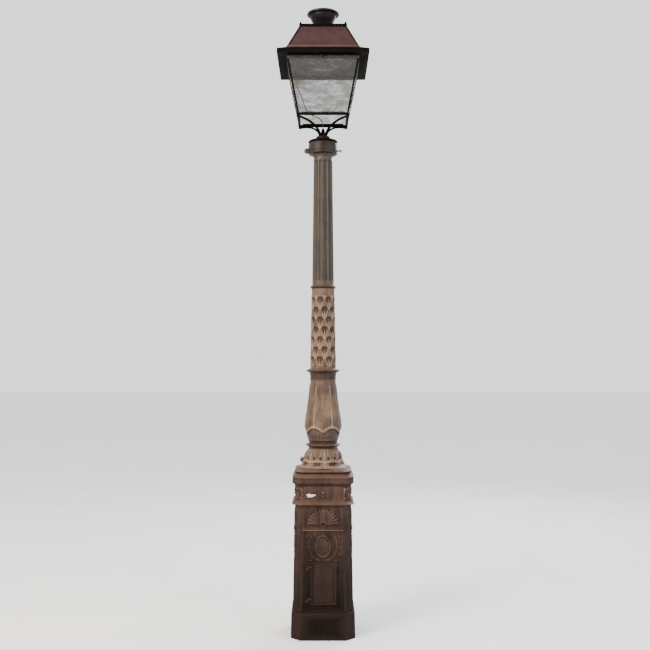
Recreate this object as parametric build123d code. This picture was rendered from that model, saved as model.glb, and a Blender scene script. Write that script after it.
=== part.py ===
from build123d import *
import math
import os

# Street lamp post: a cast-iron pedestal and column with a square glazed lantern.
# Millimetres, +Z up, origin on the ground under the column's axis; the door faces -Y.

# ---- Driving dimensions: pedestal ----
PLINTH_HEIGHT = 156.0
PLINTH_FOOT_WIDTH = 378.0
PLINTH_TOP_WIDTH = 372.0
PLINTH_CHAMFER = 56.0
PLINTH_EDGE_BEVEL = 5.0
PEDESTAL_TOP_Z = 778.0
PEDESTAL_FOOT_WIDTH = 347.0
PEDESTAL_TOP_WIDTH = 326.0
PEDESTAL_CHAMFER = 49.0
CASTING_WALL = 14.0
BASE_PLATE_SIZE = 330.0
BASE_PLATE_THICKNESS = 20.0
ANCHOR_SPACING = 250.0
ANCHOR_HOLE_RADIUS = 11.0

# ---- Driving dimensions: access door and what is behind it ----
DOOR_WIDTH = 168.0
DOOR_HEIGHT = 249.0
DOOR_THICKNESS = 7.0
DOOR_CENTRE_Z = 324.0
DOOR_GAP = 2.0
DOOR_LEDGE = 10.0
DOOR_REBATE = 9.0
GASKET_GAP = 0.3
DOOR_HINGE_X = -DOOR_WIDTH / 2 - 4.0
DOOR_HINGE_OUT = 6.0
DOOR_KNUCKLE_RADIUS = 5.0
DOOR_KNUCKLE_LENGTH = 14.0
DOOR_KNUCKLE_GAP = 0.3
DOOR_HINGE_RISE = 92.0
DOOR_PIN_RADIUS = 2.5
PIN_CLEARANCE = 0.05
LOCK_X = 56.0
LOCK_RADIUS = 8.0
LOCK_CAM_LENGTH = 32.0
LOCK_CAM_Y = 15.5
LOCK_CAM_THICKNESS = 4.0
LOCK_KEY_RADIUS = 6.0
HINGE_STRAP_REACH = 24.0
HINGE_STRAP_OUT = 8.0
HINGE_LUG_REACH = 15.0
BOARD_WIDTH = 120.0
BOARD_FACE_Y = -54.0
BOARD_SPAN = (270.0, 470.0)
SADDLE_HEIGHTS = (300.0, 440.0)
SADDLE_HALF = (30.0, 10.0)
FUSE_BOX_HALF_WIDTH = 42.0
FUSE_BOX_SPAN = (330.0, 450.0)
FUSE_BOX_FRONT_Y = -98.0
FUSE_BOX_WALL = 4.0
FUSE_LID_THICKNESS = 5.0
TERMINAL_SPAN = (340.0, 365.0)
TERMINAL_SPACING = 18.0
EARTH_STUD_Z = 230.0

# ---- Driving dimensions: crest on each face, measured from its ledge ----
CREST_Z = 630.0
LEDGE_HALF_WIDTH = 116.0
LEDGE_HEIGHT = 14.0
LEDGE_DEPTH = 9.0
SHIELD_RADII = (52.0, 70.0)
SHIELD_DROP = 85.0
SHIELD_DEPTH = 7.0
SHELL_RADIUS = 108.0
SHELL_DEPTH = 6.0

# ---- Driving dimensions: square mouldings over the pedestal, as (height, width) ----
KNIFE_MOULDING = ((778, 330), (781, 350), (784, 364), (789, 362), (800, 342), (812, 330))
FRIEZE_TOP_Z = 882.0
FRIEZE_WIDTH = 327.0
CORNICE = ((882, 327), (893, 338), (906, 357), (910, 360), (942, 360), (946, 334), (962, 330))
TORUS_TOP_Z = 991.0
TORUS_WIDTH = 336.0
CONSOLE_WIDTH = 58.0
CONSOLE_DEPTH = 17.0
CONSOLE_ROLL = 22.0

# ---- Driving dimensions: column, as (height, radius) where a piece is turned ----
BORE_RADIUS = 45.0
CORE_RADIUS = 38.0
CORE_WALL = 5.0
CORE_JOINT_Z = 262.0
CORE_TOP_Z = 2925.0
CABLE_WINDOW = (22.0, 175.0, 250.0)
BELL = ((991, 143), (1002, 130), (1030, 117), (1056, 110), (1074, 104), (1098, 86))
NECK_RING = ((1098, 86), (1110, 89), (1117, 103), (1124, 103), (1130, 88), (1145, 86.5))
BALUSTER = ((1145, 86.5), (1181, 105), (1218, 108.5), (1290, 103), (1397, 86.5), (1505, 77))
BALUSTER_RING = ((1505, 77), (1542, 79), (1556, 95), (1566, 99), (1575, 80))
LEAF_SHAFT_TOP_Z = 2052.0
LEAF_SHAFT_RADII = (75.5, 66.5)
SHAFT_RING = ((2052, 68), (2058, 76), (2067, 77), (2075, 66))
FLUTED_TOP_Z = 2840.0
FLUTED_RADII = (64.5, 55.5)
FLUTE_COUNT = 12
FLUTE_RADII = (13.0, 11.0)
FLUTE_DEPTH = 6.0
FLUTE_END_MARGIN = 22.0
TOP_RING = ((2840, 57), (2848, 66), (2855, 66))

# ---- Driving dimensions: lantern carrier ----
COLLAR_TOP_Z = 2925.0
COLLAR_RADIUS = 86.0
SCREW_Z = 2878.0
SCREW_RADIUS = 6.0
LANTERN_FOOT_RADIUS = 87.5
LANTERN_FOOT_TOP_Z = 2945.0
HUB_RADIUS = 43.0
HUB_TOP_Z = 2965.0
GLAND_RADIUS = 13.0
GLAND_TOP_Z = 3012.0
ARM_RADIUS = 5.5
ARM_FOOT_OFFSET = 22.0

# ---- Driving dimensions: lantern body ----
FRAME_BOTTOM_Z = 3058.0
FRAME_TOP_Z = 3070.0
FRAME_WIDTH = 304.0
FRAME_BAR = 16.0
BODY_FOOT_WIDTH = 302.0
BODY_HEAD_WIDTH = 420.0
HEAD_FRAME_Z = 3366.0
HEAD_TOP_Z = 3384.0
CORNER_BAR = 12.0
GLASS_THICKNESS = 3.0
CEILING_THICKNESS = 2.0
OPTIC_RADIUS = 86.0
LENS_SAG = 16.0
LENS_THICKNESS = 4.0
BOWL_TOP_Z = 3484.0
CABLE_RADIUS = 3.0
CABLE_ROUTE = ((0, 0, GLAND_TOP_Z), (-73, 45, 3109), (-135, 115, 3244), (-168, 160, 3388))

# ---- Driving dimensions: lantern roof ----
EAVE_WIDTH = 530.0
EAVE_OPENING = 426.0
EAVE_BOTTOM_Z = 3385.0
FASCIA_TOP_Z = 3408.0
BRIM_TOP_Z = 3434.0
BRIM_TOP_WIDTH = 416.0
ROOF_TOP_Z = 3576.0
ROOF_TOP_WIDTH = 272.0
SHEET = 3.0
ROOF_CORNICE_WIDTH = 280.0
ROOF_CORNICE_TOP_Z = 3592.0
CHIMNEY = ((3592, 49), (3640, 47), (3668, 55), (3690, 72))
CAP_RADIUS = 96.5
CAP_BOTTOM_Z = 3690.0
CAP_RIM_Z = 3697.0
CAP_TOP_Z = 3715.0
ROOF_HINGE_Y = 222.0
ROOF_HINGE_Z = 3376.0
ROOF_HINGE_X = 120.0
ROOF_KNUCKLE_RADIUS = 5.0
ROOF_KNUCKLE_LENGTH = 26.0
ROOF_PIN_RADIUS = 2.5
LATCH_Y = -240.0
LATCH_REACH = 28.0
LATCH_TONGUE_Z = 3374.0
LATCH_RADIUS = 6.0
LATCH_KNOB = 14.0

SIDES = (0, 90, 180, 270)
CORNERS = ((-1, -1), (1, -1), (1, 1), (-1, 1))

taper_per_mm = (PEDESTAL_FOOT_WIDTH - PEDESTAL_TOP_WIDTH) / 2 / (PEDESTAL_TOP_Z - PLINTH_HEIGHT)
face_tilt = math.degrees(math.atan(taper_per_mm))
door_face_y = -(PEDESTAL_FOOT_WIDTH / 2 - taper_per_mm * (DOOR_CENTRE_Z - PLINTH_HEIGHT))
door_frame = Location((0, door_face_y, DOOR_CENTRE_Z), (-face_tilt, 0, 0))


# ---- Shapes that several pieces share ----
def chamfered_square(width, leg, z):
    """A square with cut corners, lying at height z."""
    square = Rectangle(width, width)
    return Pos(0, 0, z) * chamfer(square.vertices(), leg)


def cut_corner_block(levels, leg):
    """A solid block that runs straight between cut-corner squares at (height, width) levels."""
    sections = [chamfered_square(width, leg, z) for z, width in levels]
    block = loft(sections[:2], ruled=True)
    for low, high in zip(sections[1:], sections[2:]):
        block += loft([low, high], ruled=True)
    return block


def square_block(levels):
    """A solid block that runs straight between plain squares at (height, width) levels."""
    sections = [Pos(0, 0, z) * Rectangle(width, width) for z, width in levels]
    block = loft(sections[:2], ruled=True)
    for low, high in zip(sections[1:], sections[2:]):
        block += loft([low, high], ruled=True)
    return block


def square_ring(levels, wall):
    """A square tube of one wall thickness through (height, outer width) levels."""
    return square_block(levels) - square_block([(z, width - 2 * wall) for z, width in levels])


def tube_space(low, high, radius=BORE_RADIUS):
    """The round space that the core tube passes through."""
    return Pos(0, 0, low) * Cylinder(radius, high - low, align=(Align.CENTER, Align.CENTER, Align.MIN))


def turned(levels, bore=BORE_RADIUS, smooth=True):
    """A ring turned about Z from (height, radius) levels over a straight bore."""
    points = [(radius, 0, z) for z, radius in levels]
    outline = Spline(*points) if smooth else Polyline(*points)
    low_z, high_z = levels[0][0], levels[-1][0]
    edges = [
        outline,
        Line(points[-1], (bore, 0, high_z)),
        Line((bore, 0, high_z), (bore, 0, low_z)),
        Line((bore, 0, low_z), points[0]),
    ]
    return revolve(make_face(edges), Axis.Z)


def block(low, high):
    """A box between two opposite corners."""
    size = [b - a for a, b in zip(low, high)]
    return Pos(*low) * Box(*size, align=(Align.MIN, Align.MIN, Align.MIN))


def rod(start, end, radius):
    """A round rod between two points."""
    direction = Vector(*end) - Vector(*start)
    plane = Plane(origin=start, z_dir=direction)
    return extrude(plane * Circle(radius), direction.length)


def dome_arc(radius, rim_z, crown_z):
    """Half of a shallow dome's section, from its rim to its crown on the axis."""
    rise = crown_z - rim_z
    sphere = (radius**2 + rise**2) / (2 * abs(rise))
    drop = sphere - math.sqrt(sphere**2 - (radius / 2) ** 2)
    middle_z = crown_z - math.copysign(drop, rise)
    return ThreePointArc((radius, 0, rim_z), (radius / 2, 0, middle_z), (0, 0, crown_z))


def on_sides(shape):
    """The shape repeated on the four sides, as separate solids."""
    return Compound(children=[Rot(0, 0, angle) * shape for angle in SIDES])


def body_half(z):
    """Half the lantern body's outer width at height z."""
    share = (z - FRAME_TOP_Z) / (HEAD_FRAME_Z - FRAME_TOP_Z)
    return (BODY_FOOT_WIDTH + share * (BODY_HEAD_WIDTH - BODY_FOOT_WIDTH)) / 2


# ---- Pedestal ----
def base_plate():
    plate = block((-BASE_PLATE_SIZE / 2,) * 2 + (0,), (BASE_PLATE_SIZE / 2,) * 2 + (BASE_PLATE_THICKNESS,))
    plate = chamfer(plate.edges().filter_by(Axis.Z), PLINTH_CHAMFER)
    plate -= tube_space(0, BASE_PLATE_THICKNESS, CORE_RADIUS)
    for x, y in CORNERS:
        spot = Pos(x * ANCHOR_SPACING / 2, y * ANCHOR_SPACING / 2, BASE_PLATE_THICKNESS / 2)
        plate -= spot * Cylinder(ANCHOR_HOLE_RADIUS, BASE_PLATE_THICKNESS)
    return plate


def tube_length(low, high):
    """A length of the steel tube that runs up inside the castings."""
    return tube_space(low, high, CORE_RADIUS) - tube_space(low, high, CORE_RADIUS - CORE_WALL)


def core_foot():
    """The tube's foot, with a window that lets the supply cable out behind the door."""
    half, low, high = CABLE_WINDOW
    return tube_length(0, CORE_JOINT_Z) - block((-half, -CORE_RADIUS - 5, low), (half, 0, high))


def core_tube():
    return tube_length(CORE_JOINT_Z, CORE_TOP_Z)


def plinth():
    edge_z = PLINTH_HEIGHT - PLINTH_EDGE_BEVEL
    top = PLINTH_TOP_WIDTH - 2 * PLINTH_EDGE_BEVEL
    shell = cut_corner_block(
        ((0, PLINTH_FOOT_WIDTH), (edge_z, PLINTH_TOP_WIDTH), (PLINTH_HEIGHT, top)), PLINTH_CHAMFER
    )
    well = cut_corner_block(
        ((0, BASE_PLATE_SIZE), (BASE_PLATE_THICKNESS, BASE_PLATE_SIZE)), PLINTH_CHAMFER
    )
    inner = PEDESTAL_FOOT_WIDTH - 2 * CASTING_WALL
    hollow = cut_corner_block(((BASE_PLATE_THICKNESS, inner), (PLINTH_HEIGHT, inner)), PEDESTAL_CHAMFER)
    return shell - well - hollow


def pedestal():
    levels = ((PLINTH_HEIGHT, PEDESTAL_FOOT_WIDTH), (PEDESTAL_TOP_Z, PEDESTAL_TOP_WIDTH))
    shell = cut_corner_block(levels, PEDESTAL_CHAMFER)
    hollow = cut_corner_block([(z, width - 2 * CASTING_WALL) for z, width in levels], PEDESTAL_CHAMFER - 8)
    rebate = Pos(0, DOOR_REBATE / 2 - 10, 0) * Box(
        DOOR_WIDTH + 2 * DOOR_GAP, DOOR_REBATE + 20, DOOR_HEIGHT + 2 * DOOR_GAP
    )
    doorway = Box(DOOR_WIDTH + 2 * DOOR_GAP - 2 * DOOR_LEDGE, 80, DOOR_HEIGHT + 2 * DOOR_GAP - 2 * DOOR_LEDGE)
    return shell - hollow - door_frame * rebate - door_frame * doorway


def crest_reliefs():
    """A low relief on each face: an oval shield under a ledge with a shell crest."""
    face_y = taper_per_mm * (CREST_Z - PLINTH_HEIGHT) - PEDESTAL_FOOT_WIDTH / 2
    tilt = Location((0, face_y, CREST_Z), (-face_tilt, 0, 0))
    facing = Rot(90, 0, 0)
    shield = facing * extrude(Pos(0, -SHIELD_DROP) * Ellipse(*SHIELD_RADII), SHIELD_DEPTH)
    ledge = block((-LEDGE_HALF_WIDTH, -LEDGE_DEPTH, 0), (LEDGE_HALF_WIDTH, 0, LEDGE_HEIGHT))
    upper_half = Pos(0, SHELL_RADIUS / 2) * Rectangle(2 * SHELL_RADIUS, SHELL_RADIUS)
    fan = Pos(0, LEDGE_HEIGHT) * (Circle(SHELL_RADIUS) & upper_half)
    return on_sides(tilt * (shield + ledge + facing * extrude(fan, SHELL_DEPTH)))


def frieze():
    """The knife-edged moulding and the plain band over it, in one casting."""
    top = KNIFE_MOULDING[-1][0]
    levels = ((top, FRIEZE_WIDTH), (FRIEZE_TOP_Z, FRIEZE_WIDTH))
    hollow = [(z, width - 2 * CASTING_WALL) for z, width in levels]
    band = cut_corner_block(levels, PEDESTAL_CHAMFER) - cut_corner_block(hollow, PEDESTAL_CHAMFER - 8)
    edge = cut_corner_block(KNIFE_MOULDING, PEDESTAL_CHAMFER) - tube_space(PEDESTAL_TOP_Z, top)
    return band + edge


def consoles():
    """Scroll consoles on the frieze's cut corners."""
    low, high = KNIFE_MOULDING[-1][0], FRIEZE_TOP_Z
    corner_distance = (FRIEZE_WIDTH - PEDESTAL_CHAMFER) / math.sqrt(2)
    outline = (
        (0, 0, low), (-6, 0, low), (-9, 0, low + CONSOLE_ROLL), (-CONSOLE_DEPTH, 0, high - CONSOLE_ROLL),
        (-CONSOLE_DEPTH, 0, high), (0, 0, high),
    )
    profile = make_face(Polyline(*outline, close=True))
    console = Pos(-corner_distance, 0, 0) * extrude(profile, CONSOLE_WIDTH / 2, dir=(0, 1, 0), both=True)
    return Compound(children=[Rot(0, 0, 45 + angle) * console for angle in SIDES])


def cornice():
    return cut_corner_block(CORNICE, PEDESTAL_CHAMFER) - tube_space(CORNICE[0][0], CORNICE[-1][0])


def torus():
    low = CORNICE[-1][0]
    band = cut_corner_block(((low, TORUS_WIDTH), (TORUS_TOP_Z, TORUS_WIDTH)), PEDESTAL_CHAMFER)
    rims = band.faces().sort_by(Axis.Z)[0].edges() + band.faces().sort_by(Axis.Z)[-1].edges()
    return fillet(rims, (TORUS_TOP_Z - low) / 2 - 1) - tube_space(low, TORUS_TOP_Z)


# ---- Access door and electrical parts ----
def on_door_hinge(low, high, radius):
    """A rod on the door's hinge line between two heights over the door's middle."""
    return rod((DOOR_HINGE_X, -DOOR_HINGE_OUT, low), (DOOR_HINGE_X, -DOOR_HINGE_OUT, high), radius)


def access_door():
    leaf = Pos(0, DOOR_THICKNESS / 2, 0) * Box(DOOR_WIDTH, DOOR_THICKNESS, DOOR_HEIGHT)
    leaf -= rod((LOCK_X, -1, 0), (LOCK_X, DOOR_THICKNESS + 1, 0), LOCK_RADIUS + PIN_CLEARANCE)
    end_x = DOOR_HINGE_X + HINGE_STRAP_REACH
    for parting in (-DOOR_HINGE_RISE, DOOR_HINGE_RISE):
        foot = parting + DOOR_KNUCKLE_GAP
        head = foot + DOOR_KNUCKLE_LENGTH
        strap = block((DOOR_HINGE_X, -HINGE_STRAP_OUT, foot), (end_x, -0.5, head))
        strap += block((DOOR_HINGE_X + 5, -0.5, foot), (end_x, 0, head))
        strap += on_door_hinge(foot, head, DOOR_KNUCKLE_RADIUS)
        leaf += strap - on_door_hinge(foot, head, DOOR_PIN_RADIUS + PIN_CLEARANCE)
    return door_frame * leaf


def door_hinge_lugs():
    """The fixed halves of the hinges, cast on the pedestal beside the door."""
    lugs = []
    start_x = DOOR_HINGE_X - HINGE_LUG_REACH
    for head in (-DOOR_HINGE_RISE, DOOR_HINGE_RISE):
        foot = head - DOOR_KNUCKLE_LENGTH
        lug = block((start_x, -HINGE_STRAP_OUT, foot), (DOOR_HINGE_X, -0.2, head))
        lug += block((start_x, -0.2, foot), (DOOR_HINGE_X - 3, 0, head))
        lug += on_door_hinge(foot, head, DOOR_KNUCKLE_RADIUS)
        lugs.append(door_frame * (lug - on_door_hinge(foot, head, DOOR_PIN_RADIUS)))
    return Compound(children=lugs)


def door_hinge_pins():
    pins = []
    for parting in (-DOOR_HINGE_RISE, DOOR_HINGE_RISE):
        head = parting + DOOR_KNUCKLE_GAP + DOOR_KNUCKLE_LENGTH - 1
        pins.append(door_frame * on_door_hinge(parting - DOOR_KNUCKLE_LENGTH, head, DOOR_PIN_RADIUS))
    return Compound(children=pins)


def door_gasket():
    """A flat ring on the rebate's ledge, a hair clear of the door's back."""
    lap = 2 * DOOR_LEDGE - 4
    outer = Box(DOOR_WIDTH, DOOR_REBATE - DOOR_THICKNESS - GASKET_GAP, DOOR_HEIGHT)
    inner = Box(DOOR_WIDTH - lap, DOOR_REBATE, DOOR_HEIGHT - lap)
    middle = (DOOR_THICKNESS + GASKET_GAP + DOOR_REBATE) / 2
    return door_frame * Pos(0, middle, 0) * (outer - inner)


def lock_barrel():
    """The barrel through the door, its round flange and the three-sided socket for the key."""
    barrel = rod((LOCK_X, -3, 0), (LOCK_X, LOCK_CAM_Y, 0), LOCK_RADIUS)
    barrel += rod((LOCK_X, -4, 0), (LOCK_X, -0.1, 0), LOCK_RADIUS + 4)
    mouth = Plane(origin=(LOCK_X, -4.5, 0), z_dir=(0, 1, 0))
    return door_frame * (barrel - extrude(mouth * RegularPolygon(LOCK_KEY_RADIUS, 3), 9))


def lock_cam():
    back_y = LOCK_CAM_Y + LOCK_CAM_THICKNESS
    hub = rod((LOCK_X, LOCK_CAM_Y, 0), (LOCK_X, back_y, 0), LOCK_RADIUS)
    half = LOCK_RADIUS - 1
    return door_frame * (hub + block((LOCK_X - half, LOCK_CAM_Y, 0), (LOCK_X + half, back_y, LOCK_CAM_LENGTH)))


def equipment_board():
    low, high = BOARD_SPAN
    return block((-BOARD_WIDTH / 2, BOARD_FACE_Y, low), (BOARD_WIDTH / 2, -CORE_RADIUS - 4, high))


def board_clamps():
    """Two saddles that hold the board on the core tube."""
    half_width, half_height = SADDLE_HALF
    saddles = []
    for z in SADDLE_HEIGHTS:
        low, high = z - half_height, z + half_height
        saddle = block((-half_width, -CORE_RADIUS - 4, low), (half_width, 0, high))
        saddles.append(saddle - tube_space(low, high, CORE_RADIUS))
    return Compound(children=saddles)


def fuse_box():
    """A shell that is open at the front, where its lid goes."""
    half, wall = FUSE_BOX_HALF_WIDTH, FUSE_BOX_WALL
    low, high = FUSE_BOX_SPAN
    shell = block((-half, FUSE_BOX_FRONT_Y, low), (half, BOARD_FACE_Y, high))
    back_y = BOARD_FACE_Y - wall
    return shell - block((wall - half, FUSE_BOX_FRONT_Y, low + wall), (half - wall, back_y, high - wall))


def fuse_box_lid():
    low, high = FUSE_BOX_SPAN
    front_y = FUSE_BOX_FRONT_Y - FUSE_LID_THICKNESS
    return block((-FUSE_BOX_HALF_WIDTH, front_y, low), (FUSE_BOX_HALF_WIDTH, FUSE_BOX_FRONT_Y, high))


def fuse_carrier():
    """The fuse's block on the box's back, under the top wall."""
    high = FUSE_BOX_SPAN[1] - 10
    return block((-12, FUSE_BOX_FRONT_Y + 4, high - 45), (12, BOARD_FACE_Y - FUSE_BOX_WALL, high))


def terminal_block():
    """Four clamping ways in a row on the box's back."""
    low, high = TERMINAL_SPAN
    back_y = BOARD_FACE_Y - FUSE_BOX_WALL
    rail = block((-34, back_y - 12, low), (34, back_y, high))
    for way in (-1.5, -0.5, 0.5, 1.5):
        middle = (way * TERMINAL_SPACING, back_y - 8, (low + high) / 2)
        rail -= Pos(*middle) * Rot(90, 0, 0) * Cylinder(3.2, 10)
    return rail


def earth_stud():
    """A stud with a washer and a nut, screwed into the pedestal's right wall."""
    wall_x = PEDESTAL_FOOT_WIDTH / 2 - CASTING_WALL - taper_per_mm * (EARTH_STUD_Z - PLINTH_HEIGHT)
    stud = None
    for start, end, radius in ((-24, -1, 4), (-9, -3, 8), (-3, -0.5, 6)):
        turn = rod((wall_x + start, 0, EARTH_STUD_Z), (wall_x + end, 0, EARTH_STUD_Z), radius)
        stud = turn if stud is None else stud + turn
    return stud


# ---- Column ----
def leaf_bell():
    bell = turned(BELL)
    lug = Plane(origin=(-110, 0, 1006), z_dir=(-1, 0, 0.35)) * Ellipse(20, 16)
    tip = extrude(lug, 62, taper=10)
    return bell + (tip - tube_space(990, 1060, 100)) - Pos(0, 0, 981) * Cylinder(250, 20)


def neck_ring():
    return turned(NECK_RING)


def baluster():
    return turned(BALUSTER)


def baluster_ring():
    return turned(BALUSTER_RING)


def leaf_shaft():
    low, high = BALUSTER_RING[-1][0], LEAF_SHAFT_TOP_Z
    return turned(((low, LEAF_SHAFT_RADII[0]), (high, LEAF_SHAFT_RADII[1])), smooth=False)


def shaft_ring():
    return turned(SHAFT_RING)


def fluted_shaft():
    low, high = SHAFT_RING[-1][0], FLUTED_TOP_Z
    shaft = turned(((low, FLUTED_RADII[0]), (high, FLUTED_RADII[1])), smooth=False)
    ends = []
    for z, shaft_radius, flute_radius in zip((low, high), FLUTED_RADII, FLUTE_RADII):
        ends.append(Pos(shaft_radius - FLUTE_DEPTH + flute_radius, 0, z) * Circle(flute_radius))
    flute = loft(ends) & block((0, -50, low + FLUTE_END_MARGIN), (200, 50, high - FLUTE_END_MARGIN))
    for turn in range(FLUTE_COUNT):
        shaft -= Rot(0, 0, 360 / FLUTE_COUNT * (turn + 0.5)) * flute
    return shaft + turned(TOP_RING, smooth=False)


# ---- Lantern carrier ----
def clamp_collar():
    low = TOP_RING[-1][0]
    collar = tube_space(low, COLLAR_TOP_Z, COLLAR_RADIUS) - tube_space(low, COLLAR_TOP_Z, CORE_RADIUS)
    lug = block((-COLLAR_RADIUS - 20, -16, SCREW_Z - 16), (-COLLAR_RADIUS + 10, 16, SCREW_Z + 16))
    collar += lug
    for direction in (1, -1):
        start, end = direction * (CORE_RADIUS - 6), direction * (COLLAR_RADIUS + 40)
        collar -= rod((start, 0, SCREW_Z), (end, 0, SCREW_Z), SCREW_RADIUS)
    return collar


def collar_screws():
    """The lug's clamp bolt on the left and a slim set screw on the right."""
    screws = []
    for direction, reach, head_radius, head_length in ((-1, 20, 11, 9), (1, 18, 8, 8)):
        root = (direction * (CORE_RADIUS + 0.5), 0, SCREW_Z)
        seat = (direction * (COLLAR_RADIUS + reach), 0, SCREW_Z)
        head = Plane(origin=seat, z_dir=(direction, 0, 0)) * RegularPolygon(head_radius, 6)
        screws.append(rod(root, seat, SCREW_RADIUS) + extrude(head, head_length))
    return Compound(children=screws)


def lantern_spigot():
    """The cap of the collar: a foot disc with a small hub on it, in one casting."""
    top, shoulder = LANTERN_FOOT_TOP_Z, LANTERN_FOOT_TOP_Z - 8
    levels = (
        (COLLAR_TOP_Z, LANTERN_FOOT_RADIUS), (shoulder, LANTERN_FOOT_RADIUS), (top, HUB_RADIUS + 12),
        (top, HUB_RADIUS), (HUB_TOP_Z - 6, HUB_RADIUS), (HUB_TOP_Z, HUB_RADIUS - 8),
    )
    return turned(levels, bore=GLAND_RADIUS, smooth=False)


def cable_gland():
    levels = (
        (COLLAR_TOP_Z, GLAND_RADIUS), (HUB_TOP_Z, GLAND_RADIUS), (HUB_TOP_Z + 8, GLAND_RADIUS + 3),
        (HUB_TOP_Z + 22, GLAND_RADIUS), (GLAND_TOP_Z, 6),
    )
    return turned(levels, bore=CABLE_RADIUS, smooth=False)


def support_arms():
    """Four bars that rise from the hub and bend out flat under the bottom frame's corners."""
    foot = ARM_FOOT_OFFSET * math.sqrt(2)
    head = (FRAME_WIDTH - FRAME_BAR) / 2 * math.sqrt(2)
    start, end = (foot, 0, HUB_TOP_Z), (head, 0, FRAME_BOTTOM_Z - ARM_RADIUS)
    path = Spline(start, end, tangents=[(0, 0, 1), (1, 0, 0)])
    arm = sweep(Plane(origin=start, z_dir=(0, 0, 1)) * Circle(ARM_RADIUS), path=path)
    arm += block((head - 9, -9, FRAME_BOTTOM_Z - ARM_RADIUS - 4), (head + 9, 9, FRAME_BOTTOM_Z))
    return Compound(children=[Rot(0, 0, 45 + angle) * arm for angle in SIDES])


# ---- Lantern body ----
def bottom_frame():
    return square_ring(((FRAME_BOTTOM_Z, FRAME_WIDTH), (FRAME_TOP_Z, FRAME_WIDTH)), FRAME_BAR)


def corner_bars():
    bars = []
    for x, y in CORNERS:
        ends = []
        for z in (FRAME_TOP_Z, HEAD_FRAME_Z):
            middle = body_half(z) - CORNER_BAR / 2
            ends.append(Pos(x * middle, y * middle, z) * Rectangle(CORNER_BAR, CORNER_BAR))
        bars.append(loft(ends, ruled=True))
    return Compound(children=bars)


def head_frame():
    """The body's top ring, with the roof's fixed hinge knuckles and the latch's catch welded on."""
    frame = square_ring(((HEAD_FRAME_Z, BODY_HEAD_WIDTH), (HEAD_TOP_Z, BODY_HEAD_WIDTH)), CORNER_BAR)
    for x in (-ROOF_HINGE_X, ROOF_HINGE_X):
        low_x = x - ROOF_KNUCKLE_LENGTH - 0.2
        high_x = low_x + ROOF_KNUCKLE_LENGTH
        lug_foot = (low_x, BODY_HEAD_WIDTH / 2, ROOF_HINGE_Z - 4)
        frame += block(lug_foot, (high_x, ROOF_HINGE_Y, ROOF_HINGE_Z + 4))
        frame += roof_knuckle(low_x) - roof_pin_space(x, ROOF_PIN_RADIUS)
        frame -= roof_pin_space(x, ROOF_PIN_RADIUS)
    front = -BODY_HEAD_WIDTH / 2
    return frame + block((-20, front - 14, LATCH_TONGUE_Z + 5.5), (20, front, HEAD_TOP_Z))


def glass_panes():
    ends = []
    for z in (FRAME_TOP_Z, HEAD_FRAME_Z):
        half = body_half(z)
        section = Rectangle(2 * (half - CORNER_BAR), GLASS_THICKNESS)
        ends.append(Pos(0, -half + CORNER_BAR / 2, z) * section)
    return on_sides(loft(ends, ruled=True))


def glazing_beads():
    """A bead along the foot of each pane, inside the lantern."""
    back = BODY_FOOT_WIDTH / 2 - CORNER_BAR / 2 - GLASS_THICKNESS / 2 - 0.2
    bead = block((-125, -back, FRAME_TOP_Z), (125, -back + 6, FRAME_TOP_Z + 7))
    return on_sides(bead)


def ceiling_plate():
    low, high = HEAD_TOP_Z, HEAD_TOP_Z + CEILING_THICKNESS
    plate = square_block(((low, BODY_HEAD_WIDTH - 10), (high, BODY_HEAD_WIDTH - 10)))
    plate -= tube_space(low, high, OPTIC_RADIUS)
    cable_x, cable_y, _ = CABLE_ROUTE[-1]
    return plate - Pos(cable_x, cable_y, low) * Cylinder(9, 20)


def optic_lens():
    """A shallow glass dish in the ceiling, bulging down, with a collar in the ceiling's hole."""
    rim, inner = HEAD_TOP_Z, OPTIC_RADIUS - LENS_THICKNESS
    top = rim + CEILING_THICKNESS
    profile = [
        dome_arc(OPTIC_RADIUS, rim, rim - LENS_SAG),
        Line((0, 0, rim - LENS_SAG), (0, 0, rim - LENS_SAG + LENS_THICKNESS)),
        dome_arc(inner, rim, rim - LENS_SAG + LENS_THICKNESS),
        Polyline((inner, 0, rim), (inner, 0, top), (OPTIC_RADIUS, 0, top), (OPTIC_RADIUS, 0, rim)),
    ]
    return revolve(make_face(profile), Axis.Z)


def reflector():
    """A spun bowl over the ceiling's hole, with a rim that rests on the plate."""
    low = HEAD_TOP_Z + CEILING_THICKNESS
    rim, waist, neck = OPTIC_RADIUS + 1, 70.0, 26.0
    wall = 2.0
    outer = Spline(
        (rim, 0, low), (waist, 0, low + 55), (neck, 0, BOWL_TOP_Z), tangents=[(0, 0, 1), (-1, 0, 0.2)]
    )
    inner = Spline(
        (neck - wall, 0, BOWL_TOP_Z - wall), (waist - wall, 0, low + 55 - wall), (rim - wall, 0, low),
        tangents=[(1, 0, -0.2), (0, 0, -1)],
    )
    crown = Line((neck, 0, BOWL_TOP_Z), (neck - wall, 0, BOWL_TOP_Z - wall))
    return revolve(make_face([outer, crown, inner, Line((rim - wall, 0, low), (rim, 0, low))]), Axis.Z)


def lamp_holder():
    levels = ((BOWL_TOP_Z - 16, 22), (BOWL_TOP_Z - 2, 22), (BOWL_TOP_Z + 8, 24), (BOWL_TOP_Z + 34, 20))
    return turned(levels, bore=14, smooth=False) + tube_space(BOWL_TOP_Z + 26, BOWL_TOP_Z + 34, 18)


def lamp():
    glass = Pos(0, 0, BOWL_TOP_Z - 50) * scale(Sphere(22), by=(1, 1, 1.6))
    screw = tube_space(BOWL_TOP_Z - 30, BOWL_TOP_Z + 20, 13.6)
    return glass + screw


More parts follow.
